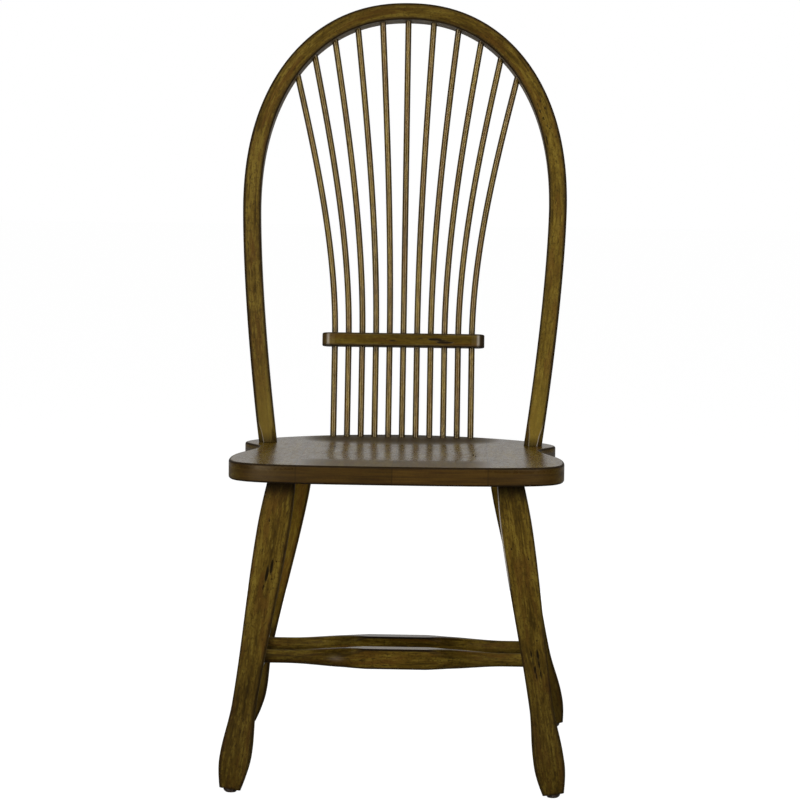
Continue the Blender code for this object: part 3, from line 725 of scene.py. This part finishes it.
def make_seat(material):
    """A flat underside, a side between two rounded edges and a dished top, ring by ring from below."""
    plan = seat_plan()
    rings, arris = [], []

    def add(outline, height, closeness=0.0):
        rings.append(np.column_stack((outline, np.full(len(outline), height))))
        arris.append(closeness)

    edge = list(zip(*rounded_edge(SEAT_EDGE_RADIUS)))
    clear_of_edge = inset(plan, SEAT_EDGE_RADIUS + EDGE_ARRIS_WIDTH)
    straight = SEAT_THICKNESS - 2 * SEAT_EDGE_RADIUS
    for share in SEAT_BOTTOM_SHARES:
        add(plan * share, SEAT_UNDERSIDE)
    add(clear_of_edge, SEAT_UNDERSIDE)
    for inward, depth, closeness in edge:
        add(inset(plan, inward), SEAT_UNDERSIDE + depth, closeness)
    for share in SEAT_SIDE_SHARES:
        add(plan, SEAT_UNDERSIDE + SEAT_EDGE_RADIUS + share * straight)
    for inward, depth, closeness in reversed(edge):
        add(inset(plan, inward), SEAT_HEIGHT - depth, closeness)
    add(clear_of_edge, SEAT_HEIGHT)
    for share in SEAT_TOP_SHARES:
        drop = SEAT_DISH_DEPTH * ease((SEAT_DISH_RIM - share) / (SEAT_DISH_RIM - SEAT_DISH_FLOOR))
        add(plan * share, SEAT_HEIGHT - drop)
    rings = np.array(rings)
    paint = {"arris": np.array(arris)[:, None], **seat_paint(rings)}
    make_piece("seat", rings, rings[..., (1, 0, 2)], material, "seat_wood", **paint)


# Legs and glides


class Leg:
    """One leg's axis, from the seat's underside to the middle of its sole."""

    def __init__(self, end, side):
        self.end, self.side, self.outward = end, side, SIDES[side]
        from_side, from_end, splay_out, splay_along = LEG_PLACES[end]
        seat_end, along = SEAT_ENDS[end]
        x, y = SEAT_HALF_WIDTH - from_side, seat_end - along * from_end
        self.top = np.array((self.outward * x, y, SEAT_UNDERSIDE))
        self.sole = np.array((self.outward * (x + splay_out), y + along * splay_along, GLIDE_HEIGHT))
        self.direction = unit(self.top - self.sole)
        self.side_slope = (self.sole[0] - self.top[0]) / (self.top[2] - self.sole[2])
        self.sole_up = unit((-self.side_slope, 0.0, 1.0))

    def share(self, height):
        return (self.top[2] - np.asarray(height)) / (self.top[2] - self.sole[2])

    def at_height(self, height):
        return self.top + self.share(height)[..., None] * (self.sole - self.top)


def leg_stations():
    """Heights and widths up a leg: a sole drawn in below a swelling pad, a slim ankle and a shoulder."""
    shoulder = SEAT_UNDERSIDE - LEG_SHOULDER_DROP
    top = SEAT_UNDERSIDE - CLEARANCE
    runs = (
        (LEG_PAD_HEIGHT, LEG_PAD_WIDTH, GLIDE_HEIGHT, LEG_SOLE_WIDTH, lambda u: 1 - np.cos(QUARTER * u)),
        (LEG_ANKLE_HEIGHT, LEG_ANKLE_WIDTH, LEG_PAD_HEIGHT, LEG_PAD_WIDTH, ease),
        (shoulder, LEG_SHOULDER_WIDTH, LEG_ANKLE_HEIGHT, LEG_ANKLE_WIDTH, ease),
        (top, LEG_TOP_WIDTH, shoulder, LEG_SHOULDER_WIDTH, lambda u: np.sin(QUARTER * u)),
    )
    heights, widths = [], []
    for (high, high_width, low, low_width, curve), steps in zip(runs, LEG_STEPS):
        u = np.linspace(1.0, 0.0, steps, endpoint=False)
        heights.append(blend(high, low, u))
        widths.append(blend(high_width, low_width, curve(u)))
    return np.append(np.concatenate(heights), top), np.append(np.concatenate(widths), LEG_TOP_WIDTH)


def leg_paint(leg, heights, section, arris):
    """Painted shade below the seat, towards the foot and at the sole, matt flanks and, on one leg, a painted
    highlight along the inner arris.
    """
    below_seat, above_pad = SEAT_UNDERSIDE - heights, heights - LEG_PAD_HEIGHT
    # Painted shade towards the foot, under the seat and along the sole
    foot = LEG_FOOT_SHADE[leg.end] * (1 - ease(above_pad / LEG_FOOT_SHADE_RUN))
    shade = np.maximum(near(below_seat, LEG_TOP_SHADE_RUN[leg.end]), foot)
    shade = np.maximum(shade, near(heights - GLIDE_HEIGHT, LEG_SOLE_SHADE_RUN))
    pad = 1 - ease(above_pad / LEG_PAD_ARRIS_RUN)
    arris = np.clip(arris * (1 + LEG_PAD_ARRIS * pad)[:, None], 0.0, 1.0)
    across, depth = section[..., 0], section[..., 1]
    half_width, front = across.max(axis=1)[:, None], depth.min(axis=1)[:, None]
    matt = near(half_width - np.abs(across), LEG_FLANK_REACH)
    # The painted highlight along the inner front arris, high up
    inner = half_width + leg.outward * across
    away = np.hypot(inner - LEG_HIGHLIGHT_IN, depth - front - LEG_HIGHLIGHT_IN)
    high = ease((LEG_HIGHLIGHT_RUN - below_seat[:, None]) / LEG_HIGHLIGHT_FADE)
    highlight_and_pale_line = ((leg.end, leg.side) == HIGHLIGHTED_LEG) * near(away, LEG_HIGHLIGHT_WIDTH) * high
    return {"arris": arris, "shade": shade[:, None], "matt": matt, "highlight_and_pale_line": highlight_and_pale_line}


def make_leg(leg, material):
    """A square section that follows the stations, with a round tenon on top."""
    heights, widths = leg_stations()
    half_depths = widths / 2 * LEG_SHOULDER_DEPTH / LEG_SHOULDER_WIDTH
    section, arris = OUTLINE.points(widths / 2, half_depths, LEG_EDGE_RADIUS)
    slope = leg.side_slope * leg.share(heights)
    across = np.stack((np.ones_like(heights), np.zeros_like(heights), slope), axis=-1)
    rings = place(section, leg.at_height(heights), across, BACKWARDS)
    tenon = OUTLINE.round(LEG_TENON_DIAMETER / 2)
    tenon_heights = np.array((SEAT_UNDERSIDE - CLEARANCE, SEAT_UNDERSIDE + SOCKET_DEPTH))
    tenon_across = unit(np.cross(BACKWARDS, leg.direction))
    for height in tenon_heights:
        centre = leg.at_height(np.array([height]))
        ring = place(tenon, centre, tenon_across, np.cross(leg.direction, tenon_across))[0]
        rings = np.concatenate((rings, slide_to_height(ring, leg.direction, height)[None]))
    heights = np.concatenate((heights, tenon_heights))
    section = np.concatenate((section, tenon, tenon))
    arris = np.concatenate((arris, np.zeros((2, arris.shape[1]))))
    paint = leg_paint(leg, heights, section, arris)
    grain = grain_of(heights, section)
    make_piece(f"{leg.end}_leg_{leg.side}", rings, grain, material, "leg_wood", **paint)


def make_glide(leg, material):
    """A domed head with a stem, worn level where it meets the floor."""
    head, stem = GLIDE_DIAMETER / 2, GLIDE_STEM_DIAMETER / 2
    chamfer = stem / 4
    drops = [-GLIDE_STEM_LENGTH, chamfer - GLIDE_STEM_LENGTH, CLEARANCE, CLEARANCE, CLEARANCE + chamfer / 2]
    radii = [stem - chamfer, stem, stem, head - chamfer, head]
    for turn in GLIDE_DOME_TURNS:
        drops.append(blend(GLIDE_RIM_HEIGHT, GLIDE_DOME_DROP, math.sin(turn)))
        radii.append(head * math.cos(turn))
    centres = leg.sole - np.outer(drops, leg.sole_up)
    section = circle(np.array(radii), GLIDE_SIDES)
    rings = place(section, centres, *frames_across(leg.sole_up[None]))
    rings[..., 2] = np.maximum(rings[..., 2], 0.0)
    make_piece(f"{leg.end}_glide_{leg.side}", rings, rings, material, "glide_plastic")


# Stretchers


def make_stretcher(node, start, end, material, glint=0.0):
    """Round ends, an oval swell and a middle with flat faces that end in points."""
    middle, direction = (start + end) / 2, unit(end - start)
    half_length = np.linalg.norm(end - start) / 2
    reach = half_length * np.linspace(-1.0, 1.0, STRETCHER_STATIONS)
    swell_run = STRETCHER_SWELL_HALF_LENGTH - STRETCHER_FULL_HALF_LENGTH
    swell = ease((STRETCHER_SWELL_HALF_LENGTH - np.abs(reach)) / swell_run)
    end_radius = STRETCHER_END_DIAMETER / 2
    half_height = blend(end_radius, STRETCHER_MIDDLE_HEIGHT / 2, swell)
    half_depth = blend(end_radius, STRETCHER_MIDDLE_DEPTH / 2, swell)
    facet = np.clip((STRETCHER_FACET_HALF_LENGTH - np.abs(reach)) / STRETCHER_FACET_RUN, 0.0, 1.0)
    corner = blend(np.minimum(half_height, half_depth), STRETCHER_EDGE_RADIUS, facet)
    section, arris = OUTLINE.points(half_depth, half_height, corner)
    rings = place(section, middle + np.outer(reach, direction), unit(np.cross(direction, UP)), UP)
    arris = arris * (facet ** 2)[:, None]
    buried = half_length - LEG_ANKLE_WIDTH / 2
    shade = STRETCHER_RING_SHADE * near(np.maximum(buried - np.abs(reach), 0.0), JOINT_RING)
    # Painted shade at the ends, at the lens's points and along the upper front arris
    lens_end = near(np.abs(reach) - STRETCHER_FACET_HALF_LENGTH, STRETCHER_LENS_REACH)
    upper_corner = np.arange(section.shape[1]) < CORNER_STEPS
    on_arris = facet[:, None] * upper_corner
    shade = np.maximum(shade, STRETCHER_END_SHADE * (1 - swell))[:, None]
    shade = np.maximum(shade, STRETCHER_LENS_SHADE * lens_end[:, None] * upper_corner)
    shade = np.maximum(shade, STRETCHER_ARRIS_SHADE * on_arris)
    matt = np.maximum(STRETCHER_END_MATT * (1 - swell)[:, None], on_arris)
    # A painted glint on the front face, left of the lens
    on_front = (section[..., 0] > 0) * near(section[..., 1], STRETCHER_GLINT_HEIGHT)
    highlight_and_pale_line = glint * near(reach - STRETCHER_GLINT_PLACE, STRETCHER_GLINT_REACH)[:, None] * on_front
    paint = {"arris": arris, "shade": shade, "matt": matt, "highlight_and_pale_line": highlight_and_pale_line}
    make_piece(node, rings, grain_of(reach, section), material, "stretcher_wood", **paint)


# Bow


class BowLine:
    """The bow's centre line by its length, from the right foot over the crown to the left foot."""

    def __init__(self):
        half_span = SEAT_HALF_WIDTH - BOW_BASE_INSET + BOW_FLARE
        reach = BOW_WIDTH / 2 - BOW_EDGE_RADIUS
        lean = BOW_DEPTH / 2 - BOW_EDGE_RADIUS
        cap = reach * math.cos(BOW_RAKE) + lean * math.sin(BOW_RAKE) + BOW_EDGE_RADIUS
        crown = (OVERALL_HEIGHT - SEAT_HEIGHT - cap) / math.cos(BOW_RAKE)
        share = np.linspace(0.0, 1.0, BOW_LINE_STEPS, endpoint=False)
        flare = BOW_FLARE * (1 - share) ** BOW_FLARE_POWER
        limb = np.column_stack((half_span - flare, BOW_WIDEST_RISE * share))
        turn = np.linspace(0.0, QUARTER, BOW_LINE_STEPS)
        power = 2 / BOW_CROWN_POWER
        side = half_span * np.clip(np.cos(turn), 0.0, None) ** power
        top = blend(BOW_WIDEST_RISE, crown, np.sin(turn) ** power)
        right = np.vstack((limb, np.column_stack((side, top))))
        self.flat = np.vstack((right, right[-2::-1] * (-1.0, 1.0)))
        self.run = run_along(self.flat)
        self.length = self.run[-1]
        self.front = np.array((0.0, -math.cos(BOW_RAKE), math.sin(BOW_RAKE)))

    def point(self, run):
        x, rise = (np.interp(run, self.run, self.flat[:, k]) for k in (0, 1))
        y = SEAT_EAR_Y + rise * math.sin(BOW_RAKE)
        return np.stack((x, y, SEAT_HEIGHT + rise * math.cos(BOW_RAKE)), axis=-1)

    def direction(self, run):
        step = BOW_WIDTH / 4
        low, high = np.maximum(run - step, 0.0), np.minimum(run + step, self.length)
        return unit(self.point(high) - self.point(low))


def bow_paint(line, runs, rings, section, arris):
    """Painted shade over the crown and the left limb, painted light on the right limb, dark bevels, paler
    feet, pale lines along the bevels and a painted reflection on the inner face.
    """
    from_foot = np.minimum(runs, line.length - runs)
    rise = ease(from_foot / BOW_FOOT_RUN)[:, None]
    to_right = (1 - 2 * runs / line.length)[:, None]
    above = (from_foot - BOW_CROWN_SHADE_START) / (line.length / 2 - BOW_CROWN_SHADE_START)
    bevelled = (1 - rise) * OUTLINE.in_corner
    # Painted shade over the crown and down the left limb; the bevels are dark
    shade = np.maximum(near(rings[..., 2] - SEAT_HEIGHT, BOW_RING), BOW_CROWN_SHADE * ease(above)[:, None])
    shade = np.maximum(shade, BOW_BEVEL_SHADE * bevelled)
    shade = np.maximum(shade, BOW_LIMB_SHADE * np.clip(-to_right, 0.0, 1.0))
    low = BOW_FOOT_PALE * (1 - ease(from_foot / BOW_FOOT_PALE_RUN))[:, None]
    on_front = section[..., 1] > BOW_DEPTH / 2 - SURFACE_SKIN
    # Painted light down the right limb, with the paler feet
    pale = np.maximum(low, BOW_LIMB_PAINTED_LIGHT * to_right) * on_front
    on_inside = section[..., 0] < SURFACE_SKIN - BOW_WIDTH / 2
    # A painted reflection on the inner face
    highlight_and_pale_line = BOW_INNER_PAINTED_REFLECTION * rise * on_inside
    # Pale lines along the bevels' edges
    bevel_line = np.where(to_right > 0, BOW_RIGHT_BEVEL_LINE, BOW_LEFT_BEVEL_LINE)
    outer_bevel_edge, inner_bevel_edge = [CORNER_STEPS - 1], [SIDE_POINTS]
    highlight_and_pale_line[:, outer_bevel_edge] = bevel_line * (1 - rise)
    highlight_and_pale_line[:, inner_bevel_edge] = BOW_INNER_BEVEL_LINE * (1 - rise) * (to_right > 0)
    arris = arris * rise * np.where(section[..., 0] < 0, BOW_INNER_ARRIS, 1.0)
    return {"arris": arris, "shade": shade, "pale": pale, "matt": bevelled, "highlight_and_pale_line": highlight_and_pale_line}


def make_bow(line, material):
    """An even section whose arrises broaden to bevels at both feet, with a round tenon below each."""
    clear_of_seat = BOW_WIDTH / 2
    runs = np.linspace(clear_of_seat, line.length - clear_of_seat, BOW_STATIONS)
    runs = np.concatenate(([0.0, 0.0, 0.0], runs, [line.length] * 3))
    rise = ease(np.minimum(runs, line.length - runs) / BOW_FOOT_RUN)
    radius = blend(BOW_FOOT_EDGE_RADIUS, BOW_EDGE_RADIUS, rise)
    sizes = (BOW_WIDTH / 2, BOW_DEPTH / 2, radius)
    section, arris = OUTLINE.points(*sizes, bevel=1 - rise, arris_width=BOW_ARRIS_WIDTH)
    for k in (0, 1, -1, -2):
        section[k] = OUTLINE.round(BOW_TENON_DIAMETER / 2)[0]
        arris[k] = 0.0
    direction = line.direction(runs)
    rings = place(section, line.point(runs), np.cross(direction, line.front), line.front)
    below, above = SEAT_HEIGHT - SOCKET_DEPTH, SEAT_HEIGHT + CLEARANCE
    for k, height in ((0, below), (1, above), (2, above), (-1, below), (-2, above), (-3, above)):
        rings[k] = slide_to_height(rings[k], direction[k], height)
    paint = bow_paint(line, runs, rings, section, arris)
    make_piece("bow", rings, grain_of(runs, section), material, "bow_wood", **paint)


# Spindles and rail


class Spindle:
    """One rod: straight from the seat through the rail, then flexed like a clamped beam into the bow."""

    def __init__(self, place_from_middle, line):
        crown = line.point(line.length / 2)
        root = np.array((0.0, SEAT_BACK_Y - SPINDLE_SETBACK, SEAT_HEIGHT))
        self.lean = unit(crown - root)
        self.seat = root + np.array((place_from_middle * SPINDLE_PITCH, 0.0, 0.0))
        self.rail = self.seat + self.lean * RAIL_RISE / self.lean[2]
        self.foot = self.seat - self.lean * SOCKET_DEPTH / self.lean[2]
        self.tip = line.point(line.length / 2 - place_from_middle * SPINDLE_CROWN_PITCH)
        span = self.tip - self.rail
        self.length = span @ self.lean
        self.bend = span - self.length * self.lean

    def path(self):
        straight = np.linspace(0.0, 1.0, SPINDLE_STRAIGHT_STATIONS, endpoint=False)[:, None]
        share = np.linspace(0.0, 1.0, SPINDLE_FLEXED_STATIONS)[:, None]
        bent = 0.5 * (3 * share ** 2 - share ** 3)
        flexed = self.rail + share * self.length * self.lean + bent * self.bend
        return np.vstack((blend(self.foot, self.rail, straight), flexed))


def make_spindle(node, spindle, material):
    path = spindle.path()
    directions = unit(np.gradient(path, axis=0))
    section = circle(np.full(len(path), SPINDLE_DIAMETER / 2), SPINDLE_SIDES)
    rings = place(section, path, *frames_across(directions))
    run = run_along(path)
    to_seat = np.linalg.norm(spindle.seat - spindle.foot)
    to_rail = np.linalg.norm(spindle.rail - spindle.foot)
    to_bow = run[-1] - BOW_WIDTH / 2
    rings_at = (to_seat, to_rail - RAIL_HEIGHT / 2, to_rail + RAIL_HEIGHT / 2, to_bow)
    shade = np.max([near(run - joint, SPINDLE_RING) for joint in rings_at], axis=0)
    # Painted shade: each spindle's sides darken through the arris share
    side_shade = np.abs(section[..., 1]) / (SPINDLE_DIAMETER / 2)
    paint = {"arris": side_shade ** 2, "shade": shade[:, None]}
    make_piece(node, rings, grain_of(run, section), material, "spindle_wood", **paint)


def make_rail(spindles, material):
    """A bar with round corners in plan and eased edges, square to the spindles."""
    centre = (spindles[0].rail + spindles[-1].rail) / 2
    lean = spindles[0].lean
    half_length = (spindles[-1].rail[0] - spindles[0].rail[0]) / 2 + RAIL_END_MARGIN
    draw_in, drop, closeness = rounded_edge(RAIL_EDGE_RADIUS)
    edge_height = RAIL_HEIGHT / 2 - drop
    flat = RAIL_SIDE_SHARES * edge_height[-1]
    heights = np.concatenate((-edge_height, flat, edge_height[::-1]))
    draw_in = np.concatenate((draw_in, np.zeros_like(flat), draw_in[::-1]))
    arris = np.concatenate((closeness, np.zeros_like(flat), closeness[::-1]))
    corner, run = RAIL_CORNER_DEPTH - draw_in, RAIL_CORNER_RUN - draw_in
    section, _ = OUTLINE.points(half_length - draw_in, RAIL_DEPTH / 2 - draw_in, corner, run=run)
    rings = place(section, centre + np.outer(heights, lean), SIDEWAYS, np.cross(lean, SIDEWAYS))
    grain = grain_of(heights, section)[..., (1, 0, 2)]
    # Painted shade on the ends, darkest at the right
    turned = ease((np.abs(section[..., 0]) - half_length + RAIL_CORNER_RUN) / RAIL_END_SHADE_RUN)
    shade = turned * np.where(section[..., 0] > 0, RAIL_RIGHT_END_SHADE, RAIL_LEFT_END_SHADE)
    # Painted highlight bands where the front turns into the ends
    front_turns = (2 * SIDE_POINTS + CORNER_STEPS - 2, 3 * SIDE_POINTS + 1)
    highlight_and_pale_line = np.zeros(section.shape[:2])
    highlight_and_pale_line[:, front_turns] = RAIL_PAINTED_HIGHLIGHT * (1 - arris)[:, None]
    matt = RAIL_END_MATT * OUTLINE.in_corner
    paint = {"arris": arris[:, None], "shade": shade, "matt": matt, "highlight_and_pale_line": highlight_and_pale_line}
    make_piece("back_rail", rings, grain, material, "rail_wood", **paint)


# Marks and looks

# Gouges, in millimetres: place along and across the wood, then half length and half width
LEG_GOUGES = {
    "left": (
        (316.3, 7.0, 12.4, 2.0), (305.0, 2.1, 12.8, 2.4), (324.0, 12.5, 1.2, 0.9),
        (299.6, 9.9, 1.6, 0.9), (287.7, 0.0, 4.0, 1.1), (380.0, -6.5, 3.0, 0.8),
    ),
    "right": (
        (200.0, -4.0, 8.5, 2.2), (190.0, -2.8, 8.5, 2.3), (179.0, -1.4, 8.0, 2.2),
        (170.0, -0.4, 6.0, 1.8), (198.5, 5.1, 9.5, 2.3), (185.5, 5.2, 9.5, 2.5),
        (172.0, 5.6, 10.0, 1.7), (219.0, 6.5, 1.8, 1.1), (173.7, 10.2, 1.6, 1.2),
        (155.0, 2.9, 2.0, 1.1), (145.6, 8.2, 3.6, 1.1), (346.0, -10.9, 1.4, 1.1),
        (332.0, 10.6, 1.4, 1.1),
    ),
}
BOW_GOUGES = (
    (537.0, 0.0, 3.0, 1.1), (532.0, -5.5, 6.0, 0.8), (522.0, -6.2, 3.2, 1.2),
    (524.0, 2.2, 2.4, 1.0), (509.5, -4.6, 3.4, 1.2), (496.8, -3.0, 2.0, 1.2),
    (491.0, 0.2, 1.6, 1.1), (474.0, -8.5, 9.0, 0.9),
)
RAIL_GOUGES = (
    (47.0, 0.7, 15.0, 2.0), (64.0, -3.4, 17.0, 2.1), (-16.0, -2.0, 5.0, 1.0),
    (26.0, 2.0, 6.0, 0.8), (59.0, -0.8, 8.0, 1.0),
)
SEAT_GLUE_LINES = ((-0.1367, 0.05), (-0.004, 0.33), (0.1273, -0.15))
SEAT_SCRATCHES = (
    (64.6, -95.4, 11.0, 1.0), (-25.7, 107.2, 10.0, 1.4), (-40.0, 111.0, 8.0, 1.3),
)
GOUGE_DEPTH = 0.007

# How each wood differs from the usual one
LACQUER = {"gloss": 0.3, "roughness": 0.27, "relief": 0.04, "specks": 0.0, "blotches": 0.24}
SEAT_LOOK = {"tone": 0.75, "figure": 0.7, "edging": 0.9, **LACQUER}
BOW_LOOK = {"tone": 0.97, "roughness": 0.32, "edging": 0.9}
# Edging also sets the painted shade on the spindles' sides
SPINDLE_LOOK = {"tone": 1.15, "gloss": 1.0, "roughness": 0.22, "edging": 0.95}
RAIL_LOOK = {"tone": 0.8, "gloss": 0.55, "roughness": 0.22, "figure": 0.6}
FRONT_LEG_LOOKS = {"left": {"tone": 0.92, "edging": 0.6}, "right": {"tone": 0.9, "edging": 0.6}}
# The rear legs' tone is raised: painted light that makes up for the shade they stand in
REAR_LEG_PAINTED_LIGHT_LOOK = {"tone": 2.0, "figure": 0.6, "edging": 0.6}
STRETCHER_LOOK = {"tone": 0.92, "roughness": 0.17, "edging": 0.95}


def gouges(places, depth):
    """Marks for a wood from their places on one face, which lies at a depth in the wood."""
    metres = np.array(places) / 1000
    return [((along, across, depth), (length, width, GOUGE_DEPTH)) for along, across, length, width in metres]


def build_back():
    """The bow, the spindles and the rail that gathers them."""
    line = BowLine()
    half_count = (SPINDLE_COUNT - 1) / 2
    spindles = [Spindle(k - half_count, line) for k in range(SPINDLE_COUNT)]
    make_bow(line, wood("bow_finish", **BOW_LOOK, marks=gouges(BOW_GOUGES, BOW_DEPTH / 2)))
    finish = wood("spindle_finish", **SPINDLE_LOOK)
    for number, spindle in enumerate(spindles, start=1):
        make_spindle(f"spindle_{number:02d}", spindle, finish)
    make_rail(spindles, wood("rail_finish", **RAIL_LOOK, marks=gouges(RAIL_GOUGES, -RAIL_DEPTH / 2)))


def build_base():
    """The legs on their glides, and the stretchers between them."""
    # A paler copy of the legs' wood: painted light for the shaded rear legs
    rear_painted_light_finish = wood("rear_leg_painted_light_finish", **REAR_LEG_PAINTED_LIGHT_LOOK)
    stretcher_finish = wood("stretcher_finish", **STRETCHER_LOOK)
    glide_finish = plastic("glide_finish")
    cross_ends = {"front": [], "rear": []}
    for side, look in FRONT_LEG_LOOKS.items():
        marks = gouges(LEG_GOUGES[side], -LEG_SHOULDER_DEPTH / 2)
        front_finish = wood(f"{side}_leg_finish", **look, marks=marks)
        side_ends = []
        for end, finish in (("front", front_finish), ("rear", rear_painted_light_finish)):
            leg = Leg(end, side)
            make_leg(leg, finish)
            make_glide(leg, glide_finish)
            side_ends.append(leg.at_height(STRETCHER_HEIGHT))
        make_stretcher(f"side_stretcher_{side}", *side_ends, stretcher_finish)
        front, rear = side_ends
        run = unit(rear - front)
        for end, setback in CROSS_SETBACKS.items():
            cross_ends[end].append(front + run * setback / run[1])
    for end, glint in (("front", STRETCHER_GLINT), ("rear", 0.0)):
        make_stretcher(f"cross_stretcher_{end}", *cross_ends[end], stretcher_finish, glint)


# Stage, light and camera

FLOOR_SIZE = 60.0
FLOOR_GLOW = 0.967
FLOOR_COLOUR = (0.15, 0.15, 0.15, 1.0)
FLOOR_SPAN = (-0.2, 0.9, 0.03, 0.2)
AMBIENT = 0.18
BACKDROP_SPAN = (0.35, 0.8, 0.02, 0.68)
HORIZON_SPAN = (0.0, 0.08, 0.15, 1.0)
WHITE = (1.0, 1.0, 1.0, 1.0)

# Lamps: name, place, point aimed at, width and height, power, and whether gloss shows it
LAMPS = (
    ("key", (-0.9, -2.5, 2.3), (0.0, 0.0, 0.75), (1.5, 1.5), 33.5, False),
    ("fill", (1.5, -2.6, 1.8), (0.0, 0.0, 0.7), (1.5, 1.5), 16.0, False),
    ("left_strip", (-1.53, -2.1, 1.65), (0.0, 0.0, 1.65), (0.7, 3.1), 32.0, True),
    ("right_strip", (1.53, -2.1, 1.9), (0.0, 0.0, 1.9), (0.7, 2.6), 27.0, True),
    ("back", (0.0, 1.6, 0.15), (0.0, 0.2, 0.9), (0.8, 0.8), 14.0, False),
    ("top", (0.0, 0.4, 3.0), (0.0, 0.0, 0.6), (1.4, 1.4), 12.0, False),
)

CAMERA_PLACE = (0.0898, -3.8, 0.8849)
CAMERA_YAW, CAMERA_PITCH, CAMERA_ROLL = -0.0234, -0.092, -0.0123
CAMERA_LENS = 119.09


def make_floor():
    """White to the eye, dim in gloss below the chair, and grey as light, so that it keeps the shadow."""
    half = FLOOR_SIZE / 2
    corners = [(-half, -half, 0.0), (half, -half, 0.0), (half, half, 0.0), (-half, half, 0.0)]
    mesh = bpy.data.meshes.new("floor")
    mesh.from_pydata(corners, [], [(0, 1, 2, 3)])
    floor = add_object("floor", mesh)
    shader = Shader(bpy.data.materials.new("floor_white"))
    nodes = shader.tree.nodes
    nodes.remove(shader.surface)
    path = shader.add("LightPath", {}).outputs
    position = shader.add("NewGeometry", {}).outputs["Position"]
    depth = shader.split(position)["Y"]
    behind = shader.spread(depth, *FLOOR_SPAN)
    mirrored = shader.math("MAXIMUM", path["Is Glossy Ray"], path["Is Transmission Ray"])
    seen = shader.math("MAXIMUM", path["Is Camera Ray"], shader.scaled(mirrored, behind))
    glow = shader.add("Emission", {"Color": WHITE})
    shader.feed(glow, "Strength", shader.scaled(seen, FLOOR_GLOW))
    paint = shader.add("BsdfDiffuse", {"Color": FLOOR_COLOUR})
    both = shader.add("AddShader", {0: glow.outputs[0], 1: paint.outputs[0]})
    shader.tree.links.new(both.outputs[0], nodes["Material Output"].inputs["Surface"])
    mesh.materials.append(shader.owner)


def make_world():
    """White to the eye, bright to gloss behind the chair and above the floor line, and dim as light."""
    world = bpy.data.worlds.new("studio")
    bpy.context.scene.world = world
    shader = Shader(world)
    background = shader.tree.nodes["Background"]
    background.inputs["Color"].default_value = WHITE
    path = shader.add("LightPath", {}).outputs
    way = shader.add("TexCoord", {}).outputs["Generated"]
    places = shader.split(way)
    behind = shader.spread(places["Y"], *BACKDROP_SPAN)
    mirrored = shader.scaled(behind, shader.spread(places["Z"], *HORIZON_SPAN))
    strength = AMBIENT
    for ray, level in (("Is Glossy Ray", mirrored), ("Is Transmission Ray", 1.0), ("Is Camera Ray", 1.0)):
        strength = shader.add("Mix", {0: path[ray], 2: strength, 3: level}).outputs[0]
    shader.feed(background, "Strength", strength)


def make_lamp(name, location, target, size, power, in_gloss):
    """A soft lamp, aimed at a point. Its size is a width and a height."""
    lamp = bpy.data.lights.new(name, "AREA")
    lamp.shape = "RECTANGLE"
    lamp.size, lamp.size_y = size
    lamp.energy = power
    holder = add_object(name, lamp)
    holder.location = location
    holder.rotation_euler = (Vector(target) - Vector(location)).to_track_quat("-Z", "Y").to_euler()
    holder.visible_glossy = in_gloss
    holder.visible_camera = False


def make_camera():
    """The photo's point of view, found by fitting the chair to it."""
    camera = bpy.data.cameras.new("camera")
    camera.lens = CAMERA_LENS
    pose = Matrix.Translation(Vector(CAMERA_PLACE) + Vector((0.0, ORIGIN_Y, 0.0)))
    for angle, axis in ((-CAMERA_YAW, "Z"), (QUARTER + CAMERA_PITCH, "X"), (-CAMERA_ROLL, "Z")):
        pose = pose @ Matrix.Rotation(angle, 4, axis)
    holder = add_object("camera", camera)
    holder.matrix_world = pose
    bpy.context.scene.camera = holder


scratches = gouges(SEAT_SCRATCHES, SEAT_HEIGHT)
make_seat(wood("seat_finish", **SEAT_LOOK, marks=scratches, boards=SEAT_GLUE_LINES))
build_back()
build_base()
make_floor()
make_world()
for lamp in LAMPS:
    make_lamp(*lamp)
make_camera()
bpy.context.scene.view_settings.view_transform = "Standard"
